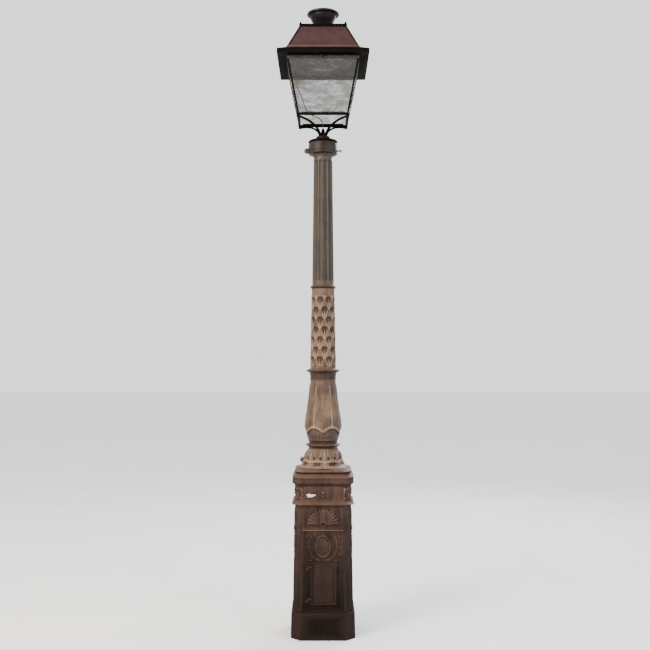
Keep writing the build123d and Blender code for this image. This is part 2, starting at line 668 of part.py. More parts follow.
def gear_tray():
    low = HEAD_TOP_Z + CEILING_THICKNESS
    tray = square_block(((low, 380), (low + 2, 380))) - tube_space(low, low + 2, OPTIC_RADIUS + 6)
    cable_x, cable_y, _ = CABLE_ROUTE[-1]
    return tray - Pos(cable_x, cable_y, low) * Cylinder(16, 20)


def ballast():
    low = HEAD_TOP_Z + CEILING_THICKNESS + 2
    feet = block((-68, -172, low), (68, -112, low + 4))
    return feet + block((-48, -170, low + 4), (48, -114, low + 54))


def ignitor():
    return Pos(138, -20, 0) * tube_space(HEAD_TOP_Z + CEILING_THICKNESS + 2, 3450, 17)


def capacitor():
    return Pos(-138, -20, 0) * tube_space(HEAD_TOP_Z + CEILING_THICKNESS + 2, 3462, 17)


def ceiling_gland():
    cable_x, cable_y, _ = CABLE_ROUTE[-1]
    levels = ((HEAD_TOP_Z - 12, 7), (HEAD_TOP_Z - 4, 12), (HEAD_TOP_Z, 12))
    gland = turned(levels, bore=CABLE_RADIUS + 2.5, smooth=False)
    neck = tube_space(HEAD_TOP_Z, HEAD_TOP_Z + CEILING_THICKNESS, 9)
    neck -= tube_space(HEAD_TOP_Z, HEAD_TOP_Z + CEILING_THICKNESS, CABLE_RADIUS + 2.5)
    return Pos(cable_x, cable_y, 0) * (gland + neck)


def lantern_terminal():
    cable_x, cable_y, cable_z = CABLE_ROUTE[-1]
    return Pos(cable_x, cable_y, cable_z) * block((-22, -12, 0), (22, 12, 20))


def supply_cable():
    path = Spline(*CABLE_ROUTE, tangents=[(0, 0, 1), (0, 0, 1)])
    return sweep(Plane(origin=CABLE_ROUTE[0], z_dir=(0, 0, 1)) * Circle(CABLE_RADIUS), path=path)


# ---- Lantern roof ----
def eave_tray():
    """Flat soffit, upright fascia and shallow brim, in bent sheet."""
    inner_width, inner_top = EAVE_WIDTH - 2 * SHEET, BRIM_TOP_WIDTH - 2 * SHEET
    soffit_top = EAVE_BOTTOM_Z + SHEET
    outside = ((EAVE_BOTTOM_Z, EAVE_WIDTH), (FASCIA_TOP_Z, EAVE_WIDTH), (BRIM_TOP_Z, BRIM_TOP_WIDTH))
    inside = ((soffit_top, inner_width), (FASCIA_TOP_Z - 1, inner_width), (BRIM_TOP_Z - SHEET, inner_top))
    solid = square_block(outside) - square_block(inside)
    solid -= square_block(((BRIM_TOP_Z - SHEET, inner_top), (BRIM_TOP_Z, inner_top)))
    return solid - square_block(((EAVE_BOTTOM_Z, EAVE_OPENING), (soffit_top, EAVE_OPENING)))


def roof_shell():
    return square_ring(((BRIM_TOP_Z, BRIM_TOP_WIDTH), (ROOF_TOP_Z, ROOF_TOP_WIDTH)), SHEET)


def roof_cornice():
    """The flat plate on the roof, with a pointed ear on each corner."""
    low, high, width = ROOF_TOP_Z, ROOF_CORNICE_TOP_Z, ROOF_CORNICE_WIDTH
    plate = square_block(((low, ROOF_TOP_WIDTH), (low + 5, width), (high, width)))
    for x, y in CORNERS:
        spot = width / 2 - 9
        plate += Pos(x * spot, y * spot, high) * Cone(8, 3, 14, align=(Align.CENTER, Align.CENTER, Align.MIN))
    return plate - tube_space(low, high, 40)


def chimney_neck():
    return turned(CHIMNEY, bore=42)


def cap_disc():
    rim = CAP_RADIUS
    profile = [
        Line((0, 0, CAP_BOTTOM_Z), (rim - 4, 0, CAP_BOTTOM_Z)),
        Line((rim - 4, 0, CAP_BOTTOM_Z), (rim, 0, CAP_RIM_Z)),
        dome_arc(rim, CAP_RIM_Z, CAP_TOP_Z),
        Line((0, 0, CAP_TOP_Z), (0, 0, CAP_BOTTOM_Z)),
    ]
    return revolve(make_face(profile), Axis.Z)


def roof_knuckle(low_x):
    """A knuckle of the roof's hinge, drawn solid, from low_x towards +X."""
    end_x = low_x + ROOF_KNUCKLE_LENGTH
    return rod((low_x, ROOF_HINGE_Y, ROOF_HINGE_Z), (end_x, ROOF_HINGE_Y, ROOF_HINGE_Z), ROOF_KNUCKLE_RADIUS)


def roof_pin_space(x, radius):
    """The line of a hinge's pin, through both of its knuckles."""
    reach = ROOF_KNUCKLE_LENGTH + 2
    return rod((x - reach, ROOF_HINGE_Y, ROOF_HINGE_Z), (x + reach, ROOF_HINGE_Y, ROOF_HINGE_Z), radius)


def roof_hinge_leaves():
    """The halves of the hinges that hang under the soffit: a plate, a web and a knuckle each."""
    leaves = []
    y, z = ROOF_HINGE_Y, ROOF_HINGE_Z
    for x in (-ROOF_HINGE_X, ROOF_HINGE_X):
        low_x = x + 0.2
        high_x = low_x + ROOF_KNUCKLE_LENGTH
        plate = block((low_x, y + 3, z + 5.5), (high_x, y + 30, EAVE_BOTTOM_Z))
        web = block((low_x, y, z - 2), (high_x, y + 8, z + 6))
        leaf = plate + web + roof_knuckle(low_x)
        leaves.append(leaf - roof_pin_space(x, ROOF_PIN_RADIUS + PIN_CLEARANCE))
    return Compound(children=leaves)


def roof_hinge_pins():
    return Compound(children=[roof_pin_space(x, ROOF_PIN_RADIUS) for x in (-ROOF_HINGE_X, ROOF_HINGE_X)])


def roof_latch():
    """A turn-button under the front soffit; its tongue swings in under the catch."""
    tongue_top = LATCH_TONGUE_Z + 5
    post = rod((0, LATCH_Y, LATCH_TONGUE_Z), (0, LATCH_Y, EAVE_BOTTOM_Z - 0.1), LATCH_RADIUS)
    back_y = LATCH_Y + LATCH_RADIUS
    tongue = block((0, LATCH_Y - LATCH_RADIUS, LATCH_TONGUE_Z), (LATCH_REACH, back_y, tongue_top))
    knob = block((-3, LATCH_Y - 9, LATCH_TONGUE_Z - LATCH_KNOB), (3, LATCH_Y + 9, LATCH_TONGUE_Z))
    return post + tongue + knob


NODES = {
    "base_plate": base_plate(),
    "core_foot": core_foot(),
    "core_tube": core_tube(),
    "plinth": plinth(),
    "pedestal": pedestal(),
    "crest_reliefs": crest_reliefs(),
    "frieze": frieze(),
    "consoles": consoles(),
    "cornice": cornice(),
    "torus": torus(),
    "access_door": access_door(),
    "door_hinge_lugs": door_hinge_lugs(),
    "door_hinge_pins": door_hinge_pins(),
    "door_gasket": door_gasket(),
    "lock_barrel": lock_barrel(),
    "lock_cam": lock_cam(),
    "equipment_board": equipment_board(),
    "board_clamps": board_clamps(),
    "fuse_box": fuse_box(),
    "fuse_box_lid": fuse_box_lid(),
    "fuse_carrier": fuse_carrier(),
    "terminal_block": terminal_block(),
    "earth_stud": earth_stud(),
    "leaf_bell": leaf_bell(),
    "neck_ring": neck_ring(),
    "baluster": baluster(),
    "baluster_ring": baluster_ring(),
    "leaf_shaft": leaf_shaft(),
    "shaft_ring": shaft_ring(),
    "fluted_shaft": fluted_shaft(),
    "clamp_collar": clamp_collar(),
    "collar_screws": collar_screws(),
    "lantern_spigot": lantern_spigot(),
    "cable_gland": cable_gland(),
    "support_arms": support_arms(),
    "bottom_frame": bottom_frame(),
    "corner_bars": corner_bars(),
    "head_frame": head_frame(),
    "glass_panes": glass_panes(),
    "glazing_beads": glazing_beads(),
    "ceiling_plate": ceiling_plate(),
    "optic_lens": optic_lens(),
    "reflector": reflector(),
    "lamp_holder": lamp_holder(),
    "lamp": lamp(),
    "gear_tray": gear_tray(),
    "ballast": ballast(),
    "ignitor": ignitor(),
    "capacitor": capacitor(),
    "ceiling_gland": ceiling_gland(),
    "lantern_terminal": lantern_terminal(),
    "supply_cable": supply_cable(),
    "eave_tray": eave_tray(),
    "roof_shell": roof_shell(),
    "roof_cornice": roof_cornice(),
    "chimney_neck": chimney_neck(),
    "cap_disc": cap_disc(),
    "roof_hinge_leaves": roof_hinge_leaves(),
    "roof_hinge_pins": roof_hinge_pins(),
    "roof_latch": roof_latch(),
}

os.makedirs("parts", exist_ok=True)
for name, shape in NODES.items():
    export_step(shape, f"parts/{name}.step")
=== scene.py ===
import math

import bpy
from mathutils import Matrix, Vector


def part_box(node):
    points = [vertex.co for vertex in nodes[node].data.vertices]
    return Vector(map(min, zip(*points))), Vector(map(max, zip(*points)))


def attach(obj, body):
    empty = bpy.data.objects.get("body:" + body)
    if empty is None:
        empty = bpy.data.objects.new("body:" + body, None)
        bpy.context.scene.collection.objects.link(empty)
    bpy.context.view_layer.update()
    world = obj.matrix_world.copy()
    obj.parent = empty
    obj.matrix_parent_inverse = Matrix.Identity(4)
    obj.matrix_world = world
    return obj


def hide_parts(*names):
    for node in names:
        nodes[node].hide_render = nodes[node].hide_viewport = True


# Street lamp post in painted cast iron: an ornate column with a square glazed lantern.
# Lengths are worked out in millimetres and turned to metres as each mesh is made.

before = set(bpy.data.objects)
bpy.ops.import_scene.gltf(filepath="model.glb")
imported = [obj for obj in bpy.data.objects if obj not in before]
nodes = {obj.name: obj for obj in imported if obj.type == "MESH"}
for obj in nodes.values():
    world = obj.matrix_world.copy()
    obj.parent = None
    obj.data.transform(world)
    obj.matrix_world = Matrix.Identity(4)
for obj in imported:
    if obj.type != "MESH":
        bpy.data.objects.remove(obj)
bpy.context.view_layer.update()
MM = 0.001
TURN = 2 * math.pi


# ---- Reading the frame ----
def low_high(node):
    """A part's lowest and highest corner, in millimetres."""
    low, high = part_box(node)
    return Vector(low) / MM, Vector(high) / MM


def foot_and_top(node):
    low, high = low_high(node)
    return low.z, high.z


# ---- Finishes ----
def linear(colour):
    """An sRGB hex colour as linear red, green, blue and alpha."""
    channels = [int(colour[i : i + 2], 16) / 255 for i in (1, 3, 5)]
    return [c / 12.92 if c <= 0.04045 else ((c + 0.055) / 1.055) ** 2.4 for c in channels] + [1.0]


def add(tree, kind, sockets=None, stops=None, **settings):
    """Adds one shader node, with its settings, its colour stops and its values or links."""
    made = tree.nodes.new("ShaderNode" + kind)
    for name, value in settings.items():
        setattr(made, name, value)
    for name, value in (sockets or {}).items():
        if isinstance(value, bpy.types.NodeSocket):
            tree.links.new(value, made.inputs[name])
        else:
            made.inputs[name].default_value = value
    if stops:
        band = made.color_ramp.elements
        while len(band) < len(stops):
            band.new(0.5)
        for element, (position, colour) in zip(band, stops):
            element.position = position
            element.color = linear(colour)
    return made


def blank(name):
    """A new material with only its output: the node tree and the object-space position."""
    material = bpy.data.materials.new(name)
    material.use_nodes = True
    tree = material.node_tree
    tree.nodes.clear()
    return material, tree, add(tree, "TexCoord").outputs["Object"]


def finish_with(tree, shader):
    add(tree, "OutputMaterial", {"Surface": shader.outputs[0]})


def painted_iron(
    name, coat, faded, grime_and_shade, wear_and_top_light, rough=0.5, grain_mm=2.2, ornate=False, sheen=0.25, darker_up_to=0.0
):
    """Oil paint brushed over sand-cast iron: a soft sheen over a faintly pitted skin, faded in
    patches, dark with soot in streaks, darker with soot and painted shade in hollows and on
    undersides, paler on top with dust and painted top light, rubbed on what stands proud, and
    darker from the ground up to a given height, in metres."""
    material, tree, place = blank(name)
    fading = {"Vector": place, "Scale": 1 / (110 * MM), "Detail": 5.0, "Roughness": 0.62}
    patch = add(tree, "TexNoise", fading)
    tone = add(tree, "ValToRGB", {"Fac": patch.outputs["Fac"]}, stops=((0.4, coat), (0.6, faded)))
    tall = add(tree, "Mapping", {"Vector": place, "Scale": (1.0, 1.0, 0.12)}).outputs[0]
    streak = add(tree, "TexNoise", {"Vector": tall, "Scale": 1 / (26 * MM), "Detail": 6.0, "Roughness": 0.7})
    facing = add(tree, "SeparateXYZ", {"Vector": place.node.outputs["Normal"]}).outputs["Z"]

    # Each layer: what spreads it, where it starts, where it is thickest, how thick, and its colour.
    layers = [(streak.outputs["Fac"], 0.5, 0.7, 0.8, grime_and_shade)]
    # Darker towards the bottom: the grime colour from the ground up to the given height.
    if darker_up_to:
        height = add(tree, "SeparateXYZ", {"Vector": place}).outputs["Z"]
        layers.append((height, darker_up_to, 0.2, 0.9, grime_and_shade))
    # Faces turned down take the grime colour as painted shade with soot; faces turned up take the wear colour
    # as painted top light with dust.
    layers += [(facing, -0.1, -0.8, 0.85, grime_and_shade), (facing, 0.2, 0.95, 0.3, wear_and_top_light)]
    if ornate:
        proud = add(tree, "Attribute", attribute_name="relief").outputs["Fac"]
        # Low relief takes the grime colour as painted shade with dirt in the hollows; high relief is rubbed
        # pale as wear.
        layers += [(proud, 0.55, 0.0, 0.8, grime_and_shade), (proud, 0.72, 1.0, 0.65, wear_and_top_light)]
    else:
        proud = add(tree, "NewGeometry").outputs["Pointiness"]
        layers.append((proud, 0.53, 0.62, 0.6, wear_and_top_light))
    paint = tone.outputs[0]
    for spread, start, thickest, most, colour in layers:
        reach = {"Value": spread, "From Min": start, "From Max": thickest, "To Max": most}
        share = add(tree, "MapRange", reach).outputs[0]
        paint = add(tree, "Mix", {0: share, 6: paint, 7: linear(colour)}, data_type="RGBA").outputs[2]

    matt = add(
        tree, "MapRange",
        {
            "Value": patch.outputs["Fac"], "From Min": 0.3, "From Max": 0.7,
            "To Min": rough - 0.1, "To Max": rough + 0.14,
        },
    )
    fine = add(tree, "TexNoise", {"Vector": place, "Scale": 1 / (grain_mm * MM), "Detail": 3.0})
    brushed = add(tree, "TexNoise", {"Vector": tall, "Scale": 1 / (7 * MM), "Detail": 2.0})
    waves = add(tree, "Bump", {"Strength": 0.35, "Distance": 0.5 * MM, "Height": brushed.outputs["Fac"]})
    pits = add(
        tree, "Bump",
        {"Strength": 0.5, "Distance": 0.3 * MM, "Height": fine.outputs["Fac"], "Normal": waves.outputs[0]},
    )
    shader = add(
        tree, "BsdfPrincipled",
        {
            "Base Color": paint, "Roughness": matt.outputs[0], "Normal": pits.outputs[0], "IOR": 1.5,
            "Specular IOR Level": sheen,
        },
    )
    finish_with(tree, shader)
    return material


def bare_metal(name, light, dark, rough, grain_mm):
    """Worked metal: a bright surface that breaks up into small duller patches."""
    material, tree, place = blank(name)
    grain = {"Vector": place, "Scale": 1 / (grain_mm * MM), "Detail": 4.0, "Roughness": 0.6}
    cloud = add(tree, "TexNoise", grain).outputs["Fac"]
    tone = add(tree, "ValToRGB", {"Fac": cloud}, stops=((0.35, dark), (0.65, light)))
    dull = add(tree, "MapRange", {"Value": cloud, "To Min": rough + 0.12, "To Max": rough - 0.08})
    ridges = add(tree, "Bump", {"Strength": 0.2, "Distance": 0.1 * MM, "Height": cloud})
    shader = add(
        tree, "BsdfPrincipled",
        {
            "Base Color": tone.outputs[0], "Metallic": 1.0, "Roughness": dull.outputs[0],
            "Normal": ridges.outputs[0],
        },
    )
    finish_with(tree, shader)
    return material


def moulded(name, light, dark, rough, grain_mm):
    """Moulded or fired parts: an even colour with a faint mottle and a fine skin."""
    material, tree, place = blank(name)
    cloud = add(tree, "TexNoise", {"Vector": place, "Scale": 1 / (30 * MM), "Detail": 4.0}).outputs["Fac"]
    tone = add(tree, "ValToRGB", {"Fac": cloud}, stops=((0.4, dark), (0.6, light)))
    skin_grain = add(tree, "TexNoise", {"Vector": place, "Scale": 1 / (grain_mm * MM), "Detail": 2.0})
    fine = add(tree, "Bump", {"Strength": 0.25, "Distance": 0.1 * MM, "Height": skin_grain.outputs["Fac"]})
    dull = add(tree, "MapRange", {"Value": cloud, "To Min": rough - 0.08, "To Max": rough + 0.1})
    shader = add(
        tree, "BsdfPrincipled",
        {"Base Color": tone.outputs[0], "Roughness": dull.outputs[0], "Normal": fine.outputs[0]},
    )
    finish_with(tree, shader)
    return material


def window_glass(name, clean, film, clear=0.02, dusty=0.2, clarity=1.0):
    """Drawn sheet glass, rained on and never washed: clear, faintly grey, with a brown film of
    dust that dulls it in clouds and curling runs."""
    material, tree, place = blank(name)
    flat = add(tree, "Mapping", {"Vector": place, "Scale": (1.0, 1.0, 1.7)}).outputs[0]
    cloud = add(
        tree, "TexNoise",
        {"Vector": flat, "Scale": 1 / (95 * MM), "Detail": 5.0, "Roughness": 0.6, "Distortion": 1.3},
    )
    tone = add(tree, "ValToRGB", {"Fac": cloud.outputs["Fac"]}, stops=((0.36, clean), (0.62, film)))
    haze = add(
        tree, "MapRange",
        {"Value": cloud.outputs["Fac"], "From Min": 0.44, "From Max": 0.6, "To Min": clear, "To Max": dusty},
    )
    drawn = add(tree, "TexNoise", {"Vector": flat, "Scale": 1 / (60 * MM), "Detail": 1.0})
    ripple = add(tree, "Bump", {"Strength": 0.1, "Distance": 0.4 * MM, "Height": drawn.outputs["Fac"]})
    shader = add(
        tree, "BsdfPrincipled",
        {
            "Base Color": tone.outputs[0], "Roughness": haze.outputs[0], "IOR": 1.5,
            "Transmission Weight": clarity, "Normal": ripple.outputs[0],
        },
    )
    finish_with(tree, shader)
    return material


def plywood(name):
    """Varnished plywood: brown bands along the grain."""
    material, tree, place = blank(name)
    along = add(tree, "Mapping", {"Vector": place, "Scale": (1.0, 1.0, 0.08)})
    bands = {"Vector": along.outputs[0], "Scale": 1 / (6 * MM), "Detail": 6.0, "Distortion": 0.6}
    grain = add(tree, "TexNoise", bands)
    tone = add(tree, "ValToRGB", {"Fac": grain.outputs["Fac"]}, stops=((0.35, "#5f4025"), (0.65, "#93683c")))
    pores = add(tree, "Bump", {"Strength": 0.3, "Distance": 0.2 * MM, "Height": grain.outputs["Fac"]})
    shader = add(
        tree, "BsdfPrincipled", {"Base Color": tone.outputs[0], "Roughness": 0.4, "Normal": pores.outputs[0]}
    )
    finish_with(tree, shader)
    return material


# Painted castings: darker brown low down, tan on the column, greyer above.
PEDESTAL_IRON = painted_iron(
    "brown oil paint on cast iron", "#2c201c", "#3d2e29", "#070403", "#31241f", sheen=0.05, darker_up_to=0.85
)
PEDESTAL_RELIEF = painted_iron(
    "dark oil paint on cast relief", "#2f221d", "#46362f", "#070403", "#5e463b",
    ornate=True, sheen=0.06, darker_up_to=0.85,
)
MOULDING_IRON = painted_iron(
    "brown oil paint, rubbed mouldings", "#291c18", "#3c2b23", "#0b0705", "#6d5245", sheen=0.12
)
MOULDING_RELIEF = painted_iron(
    "brown oil paint on cast relief", "#2f1f18", "#463127", "#0b0705", "#7d5c4b", ornate=True, sheen=0.12
)
COLUMN_IRON = painted_iron("tan oil paint on cast iron", "#3f2d22", "#543f30", "#160e09", "#8a705b")
COLUMN_RELIEF = painted_iron(
    "tan oil paint on cast leaves", "#413024", "#614a38", "#140c07", "#917963", ornate=True
)
RING_IRON = painted_iron(
    "dark oil paint on turned rings", "#291d15", "#382920", "#0e0906", "#715a49", sheen=0.15
)
SHAFT_RELIEF = painted_iron(
    "grey-brown oil paint on fluted iron", "#2b241d", "#403529", "#110c07", "#6b5c4d", ornate=True
)
SHAFT_IRON = painted_iron(
    "grey-brown oil paint on a machined collar", "#1e1813", "#2c241c", "#0a0705", "#4c4137", sheen=0.15
)

# Painted steel of the lantern: thinner paint on smoother sheet and bar.
BLACK_STEEL = painted_iron(
    "black enamel on wrought bar", "#040303", "#080707", "#020202", "#110e0c", 0.6, 3.0, sheen=0.02
)
ROOF_SHEET = painted_iron(
    "red-brown paint on sheet steel", "#281412", "#331c19", "#150b09", "#402823", 0.5, 4.0, sheen=0.2
)
# A lighter copy of the roof paint for the lap at the roof's foot: chalking, and a painted highlight where the
# lap catches light.
CHALKED_AND_LIT_LAP = painted_iron(
    "chalked red-brown paint on the lap", "#3d2a27", "#4b3531", "#1e1412", "#5e4540", 0.6, 4.0, sheen=0.2
)
# The roof's red-brown paint made much darker as painted shade, for the flue and the hub that face down under
# the cap and the lantern.
SHADED_FLUE_SHEET = painted_iron(
    "red-brown sheet darkened as painted shade", "#130908", "#1b0d0c", "#080404", "#281a18", 0.5, 4.0, sheen=0.1
)
CAP_SHEET = painted_iron(
    "blue-black paint on a spun cap", "#0a0f12", "#11181c", "#050607", "#242d32", 0.45, 4.0, sheen=0.2
)
HEAD_PAINT = moulded("aged stove enamel, sooted", "#3b342b", "#27221c", 0.6, 3)
CEILING_PAINT = moulded("aged white stove enamel", "#5a4220", "#33230b", 0.55, 3)
PRIMER = moulded("chalky old primer", "#d9c2b0", "#b99d88", 0.8, 1.0)

# Glass, and the fittings inside the pedestal and the lantern.
PANE_GLASS = window_glass("old sheet glass", "#dbdfe5", "#a79d90")
LAMP_GLASS = window_glass("opal lamp glass, browned by heat", "#75664a", "#524428", 0.3, 0.5, 0.5)
ZINC = bare_metal("hot-dip galvanised steel", "#808487", "#62676b", 0.42, 14)
STEEL = bare_metal("turned mild steel", "#8d8d8b", "#5f5e5b", 0.38, 3)
BRONZE = bare_metal("brown cast bronze", "#3b2d1f", "#241a12", 0.45, 4)
ALUMINIUM = bare_metal("spun aluminium", "#b0b3b5", "#94989b", 0.22, 20)
BAKELITE = moulded("pressed bakelite", "#2a1d18", "#1c1310", 0.35, 2)
GREY_PLASTIC = moulded("grey polyester moulding", "#8b8f8f", "#7c8080", 0.5, 1.5)
PORCELAIN = moulded("glazed porcelain", "#e6e3da", "#d8d3c7", 0.15, 6)
RUBBER = moulded("black rubber", "#141414", "#1d1d1c", 0.7, 1.5)
PLYWOOD = plywood("varnished plywood")

FINISH_OF_NODE = {
    PEDESTAL_IRON: ("plinth", "pedestal", "access_door", "door_hinge_lugs", "crest_reliefs"),
    MOULDING_IRON: ("frieze", "consoles", "cornice"),
    COLUMN_IRON: ("torus", "neck_ring", "baluster_ring", "shaft_ring", "leaf_bell", "baluster", "leaf_shaft"),
    SHAFT_IRON: ("clamp_collar", "fluted_shaft"),
    BLACK_STEEL: (
        "lantern_spigot", "cable_gland", "support_arms", "bottom_frame", "corner_bars", "glazing_beads",
        "eave_tray", "roof_cornice", "cap_disc", "roof_hinge_leaves", "roof_latch",
    ),
    ROOF_SHEET: ("roof_shell", "chimney_neck"),
    ZINC: ("base_plate", "core_foot", "core_tube", "board_clamps", "gear_tray"),
    STEEL: ("door_hinge_pins", "lock_cam", "collar_screws", "ballast", "roof_hinge_pins"),
    BRONZE: ("lock_barrel", "earth_stud", "ceiling_gland"),
    ALUMINIUM: ("reflector", "capacitor"),
    PANE_GLASS: ("glass_panes",),
    LAMP_GLASS: ("optic_lens", "lamp"),
    CEILING_PAINT: ("ceiling_plate",),
    HEAD_PAINT: ("head_frame",),
    BAKELITE: ("terminal_block", "lantern_terminal"),
    GREY_PLASTIC: ("fuse_box", "fuse_box_lid", "ignitor"),
    PORCELAIN: ("fuse_carrier", "lamp_holder"),
    RUBBER: ("door_gasket", "supply_cable"),
    PLYWOOD: ("equipment_board",),
}
for finish, names in FINISH_OF_NODE.items():
    for name in names:
        mesh = nodes[name].data
        mesh.materials.clear()
        mesh.materials.append(finish)


# ---- Making meshes ----
def smooth_through(points, parts=10):
    """Points along a smooth curve through (height, radius) points."""
    first = tuple(2 * a - b for a, b in zip(points[0], points[1]))
    last = tuple(2 * a - b for a, b in zip(points[-1], points[-2]))
    held = [first, *points, last]
    curve = []
    for p0, p1, p2, p3 in zip(held, held[1:], held[2:], held[3:]):
        for part in range(parts):
            t = part / parts
            point = []
            for a, b, c, d in zip(p0, p1, p2, p3):
                square, cube = 2 * a - 5 * b + 4 * c - d, 3 * b - a - 3 * c + d
                point.append(0.5 * (2 * b + (c - a) * t + square * t * t + cube * t**3))
            curve.append(tuple(point))
    return curve + [points[-1]]


def bead_between(low, high, radius, bulge, parts=10):
    """A half-round moulding's (height, radius) points, standing out by bulge."""
    middle, half = (low + high) / 2, (high - low) / 2
    return [
        (middle - half * math.cos(math.pi * i / parts), radius + bulge * math.sin(math.pi * i / parts))
        for i in range(parts + 1)
    ]


def cove_between(low, low_radius, high, high_radius, parts=8):
    """A hollow quarter-round from a low edge to a high one."""
    return [
        (
            low + (high - low) * math.sin(math.pi / 2 * i / parts),
            low_radius + (high_radius - low_radius) * (1 - math.cos(math.pi / 2 * i / parts)),
        )
        for i in range(parts + 1)
    ]


def even_rows(low, high, step):
    """Heights from low to high, about a step apart."""
    count = max(1, round((high - low) / step))
    return [low + (high - low) * i / count for i in range(count + 1)]


def radius_at(curve, height):
    """The radius of a (height, radius) curve at a height."""
    for (z0, r0), (z1, r1) in zip(curve, curve[1:]):
        if z0 <= height <= z1:
            return r0 + (r1 - r0) * (height - z0) / max(z1 - z0, 1e-6)
    return curve[-1][1] if height > curve[-1][0] else curve[0][1]


def fade(value, start, end):
    """0 before start, 1 after end and a smooth turn between."""
    t = min(1.0, max(0.0, (value - start) / (end - start)))
    return t * t * (3 - 2 * t)


def skin(name, rings, wrap=True, proud=None, sharp=38):
    """A mesh over equal rings of points; wrap joins the last ring to the first, else both are
    capped. proud is each point's relief, from 0 in the hollows to 1 on the crests."""
    count = len(rings[0])
    points = [tuple(MM * c for c in point) for ring in rings for point in ring]
    faces = []
    for i in range(len(rings) if wrap else len(rings) - 1):
        for j in range(count):
            k, up = (j + 1) % count, (i + 1) % len(rings)
            faces.append((i * count + j, i * count + k, up * count + k, up * count + j))
    if not wrap:
        faces.append(tuple(reversed(range(count))))
        faces.append(tuple(range(len(points) - count, len(points))))
    return mesh_of(name, points, faces, proud, sharp)


def mesh_of(name, points, faces, proud=None, sharp=38):
    """A smooth mesh with hard edges over the sharp angle, in degrees, and its relief if it has one."""
    mesh = bpy.data.meshes.new(name)
    mesh.from_pydata(points, [], faces)
    mesh.shade_smooth()
    mesh.set_sharp_from_angle(angle=math.radians(sharp))
    if proud:
        heights = mesh.attributes.new("relief", "FLOAT", "POINT")
        heights.data.foreach_set("value", proud)
    return mesh


def turned(name, profile, around=96, bore=45.0, relief=None):
    """A turned body from (height, radius) points over a bore. relief(angle, height) gives how far
    the ornament stands out there, in millimetres, and how proud it is, 0 to 1."""
    rings, proud = [], []
    for height, radius in profile:
        ring = []
        for step in range(around):
            angle = TURN * step / around
            rise, share = relief(angle, height) if relief else (0.0, 0.65)
            reach = radius + rise
            ring.append((reach * math.sin(angle), -reach * math.cos(angle), height))
            proud.append(share)
        rings.append(ring)
    for height in (profile[-1][0], profile[0][0]):
        angles = [TURN * step / around for step in range(around)]
        rings.append([(bore * math.sin(a), -bore * math.cos(a), height) for a in angles])
        proud.extend([0.3] * around)
    return skin(name, rings, proud=proud)


def cut_corner_ring(width, leg, height):
    """The eight corners of a square with cut corners, counter-clockwise from the front left."""
    half = width / 2
    near = half - leg
    plan = (
        (-near, -half), (near, -half), (half, -near), (half, near),
        (near, half), (-near, half), (-half, near), (-half, -near),
    )
    return [(x, y, height) for x, y in plan]


def cut_corner_body(name, profile, hollow_width):
    """A cut-corner moulding from (height, width) points round a hollow."""
    rings = [cut_corner_ring(width, PEDESTAL_LEG, height) for height, width in profile]
    ends = (profile[-1][0], profile[0][0])
    rings += [cut_corner_ring(hollow_width, PEDESTAL_LEG - 8, height) for height in ends]
    return skin(name, rings, sharp=28)


def bar_between(name, start, end, radius, sides=12, flat=1.0):
    """A rod between two points, with eased ends; flat squashes its height."""
    start, end = Vector(start), Vector(end)
    along = end - start
    turn = along.to_track_quat("Z", "Y").to_matrix()
    length = along.length
    profile = [(0, 0.7), (0.25 * radius, 0.94), (0.6 * radius, 1.0)]
    profile += [(length - z, r) for z, r in reversed(profile)]
    rings = []
    for z, r in profile:
        ring = []
        for i in range(sides):
            angle = TURN * i / sides
            spot = turn @ Vector((radius * r * math.cos(angle), radius * r * flat * math.sin(angle), z))
            ring.append(start + spot)
        rings.append(ring)
    return skin(name, rings, wrap=False, sharp=50)


def placed(mesh, matrix):
    """A copy of a mesh moved by a matrix whose shifts are in millimetres."""
    copy = mesh.copy()
    scaled = matrix.copy()
    scaled.translation = matrix.translation * MM
    copy.transform(scaled)
    return copy


def joined(name, meshes):
    """Several meshes as one, each keeping its own closed shell and relief."""
    points, faces, proud = [], [], []
    for mesh in meshes:
        start = len(points)
        points += [tuple(v.co) for v in mesh.vertices]
        faces += [tuple(start + i for i in face.vertices) for face in mesh.polygons]
        held = mesh.attributes.get("relief")
        proud += [entry.value for entry in held.data] if held else [0.65] * len(mesh.vertices)
    return mesh_of(name, points, faces, proud)


def piece(mesh, finish, body, replaced=(), ease=0.0):
    """Puts a mesh in the scene as a piece of one body; ease rounds its edges, in millimetres."""
    obj = bpy.data.objects.new(mesh.name, mesh)
    bpy.context.collection.objects.link(obj)
    mesh.materials.append(finish)
    if ease:
        ease_edges(obj, ease)
    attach(obj, body)
    if replaced:
        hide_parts(*replaced)
    return obj


def ease_edges(obj, width):
    """Rounds an object's hard edges with a narrow two-step bevel, in millimetres."""
    rounding = obj.modifiers.new("eased edges", "BEVEL")
    rounding.width = width * MM
    rounding.segments = 2
    rounding.limit_method = "ANGLE"
    rounding.angle_limit = math.radians(35)
    rounding.harden_normals = True


# ---- Pedestal ----
PEDESTAL_LOW, PEDESTAL_HIGH = foot_and_top("pedestal")
PEDESTAL_FOOT_WIDTH = 2 * low_high("pedestal")[1].x
PEDESTAL_TOP_WIDTH = 326.0
PEDESTAL_LEG = 49.0
BAND_WIDTH = 327.0
TUBE_HOLE = 96.0
CREST_Z = 630.0
RELIEF_DEPTH = 0.6
DOOR_LOW, DOOR_HIGH = foot_and_top("access_door")
DOOR_MIDDLE = (DOOR_LOW + DOOR_HIGH) / 2
DOOR_HALF_HEIGHT = (DOOR_HIGH - DOOR_LOW) / 2
DOOR_HALF_WIDTH = 84.0
FACE_SLOPE = (PEDESTAL_FOOT_WIDTH - PEDESTAL_TOP_WIDTH) / 2 / (PEDESTAL_HIGH - PEDESTAL_LOW)


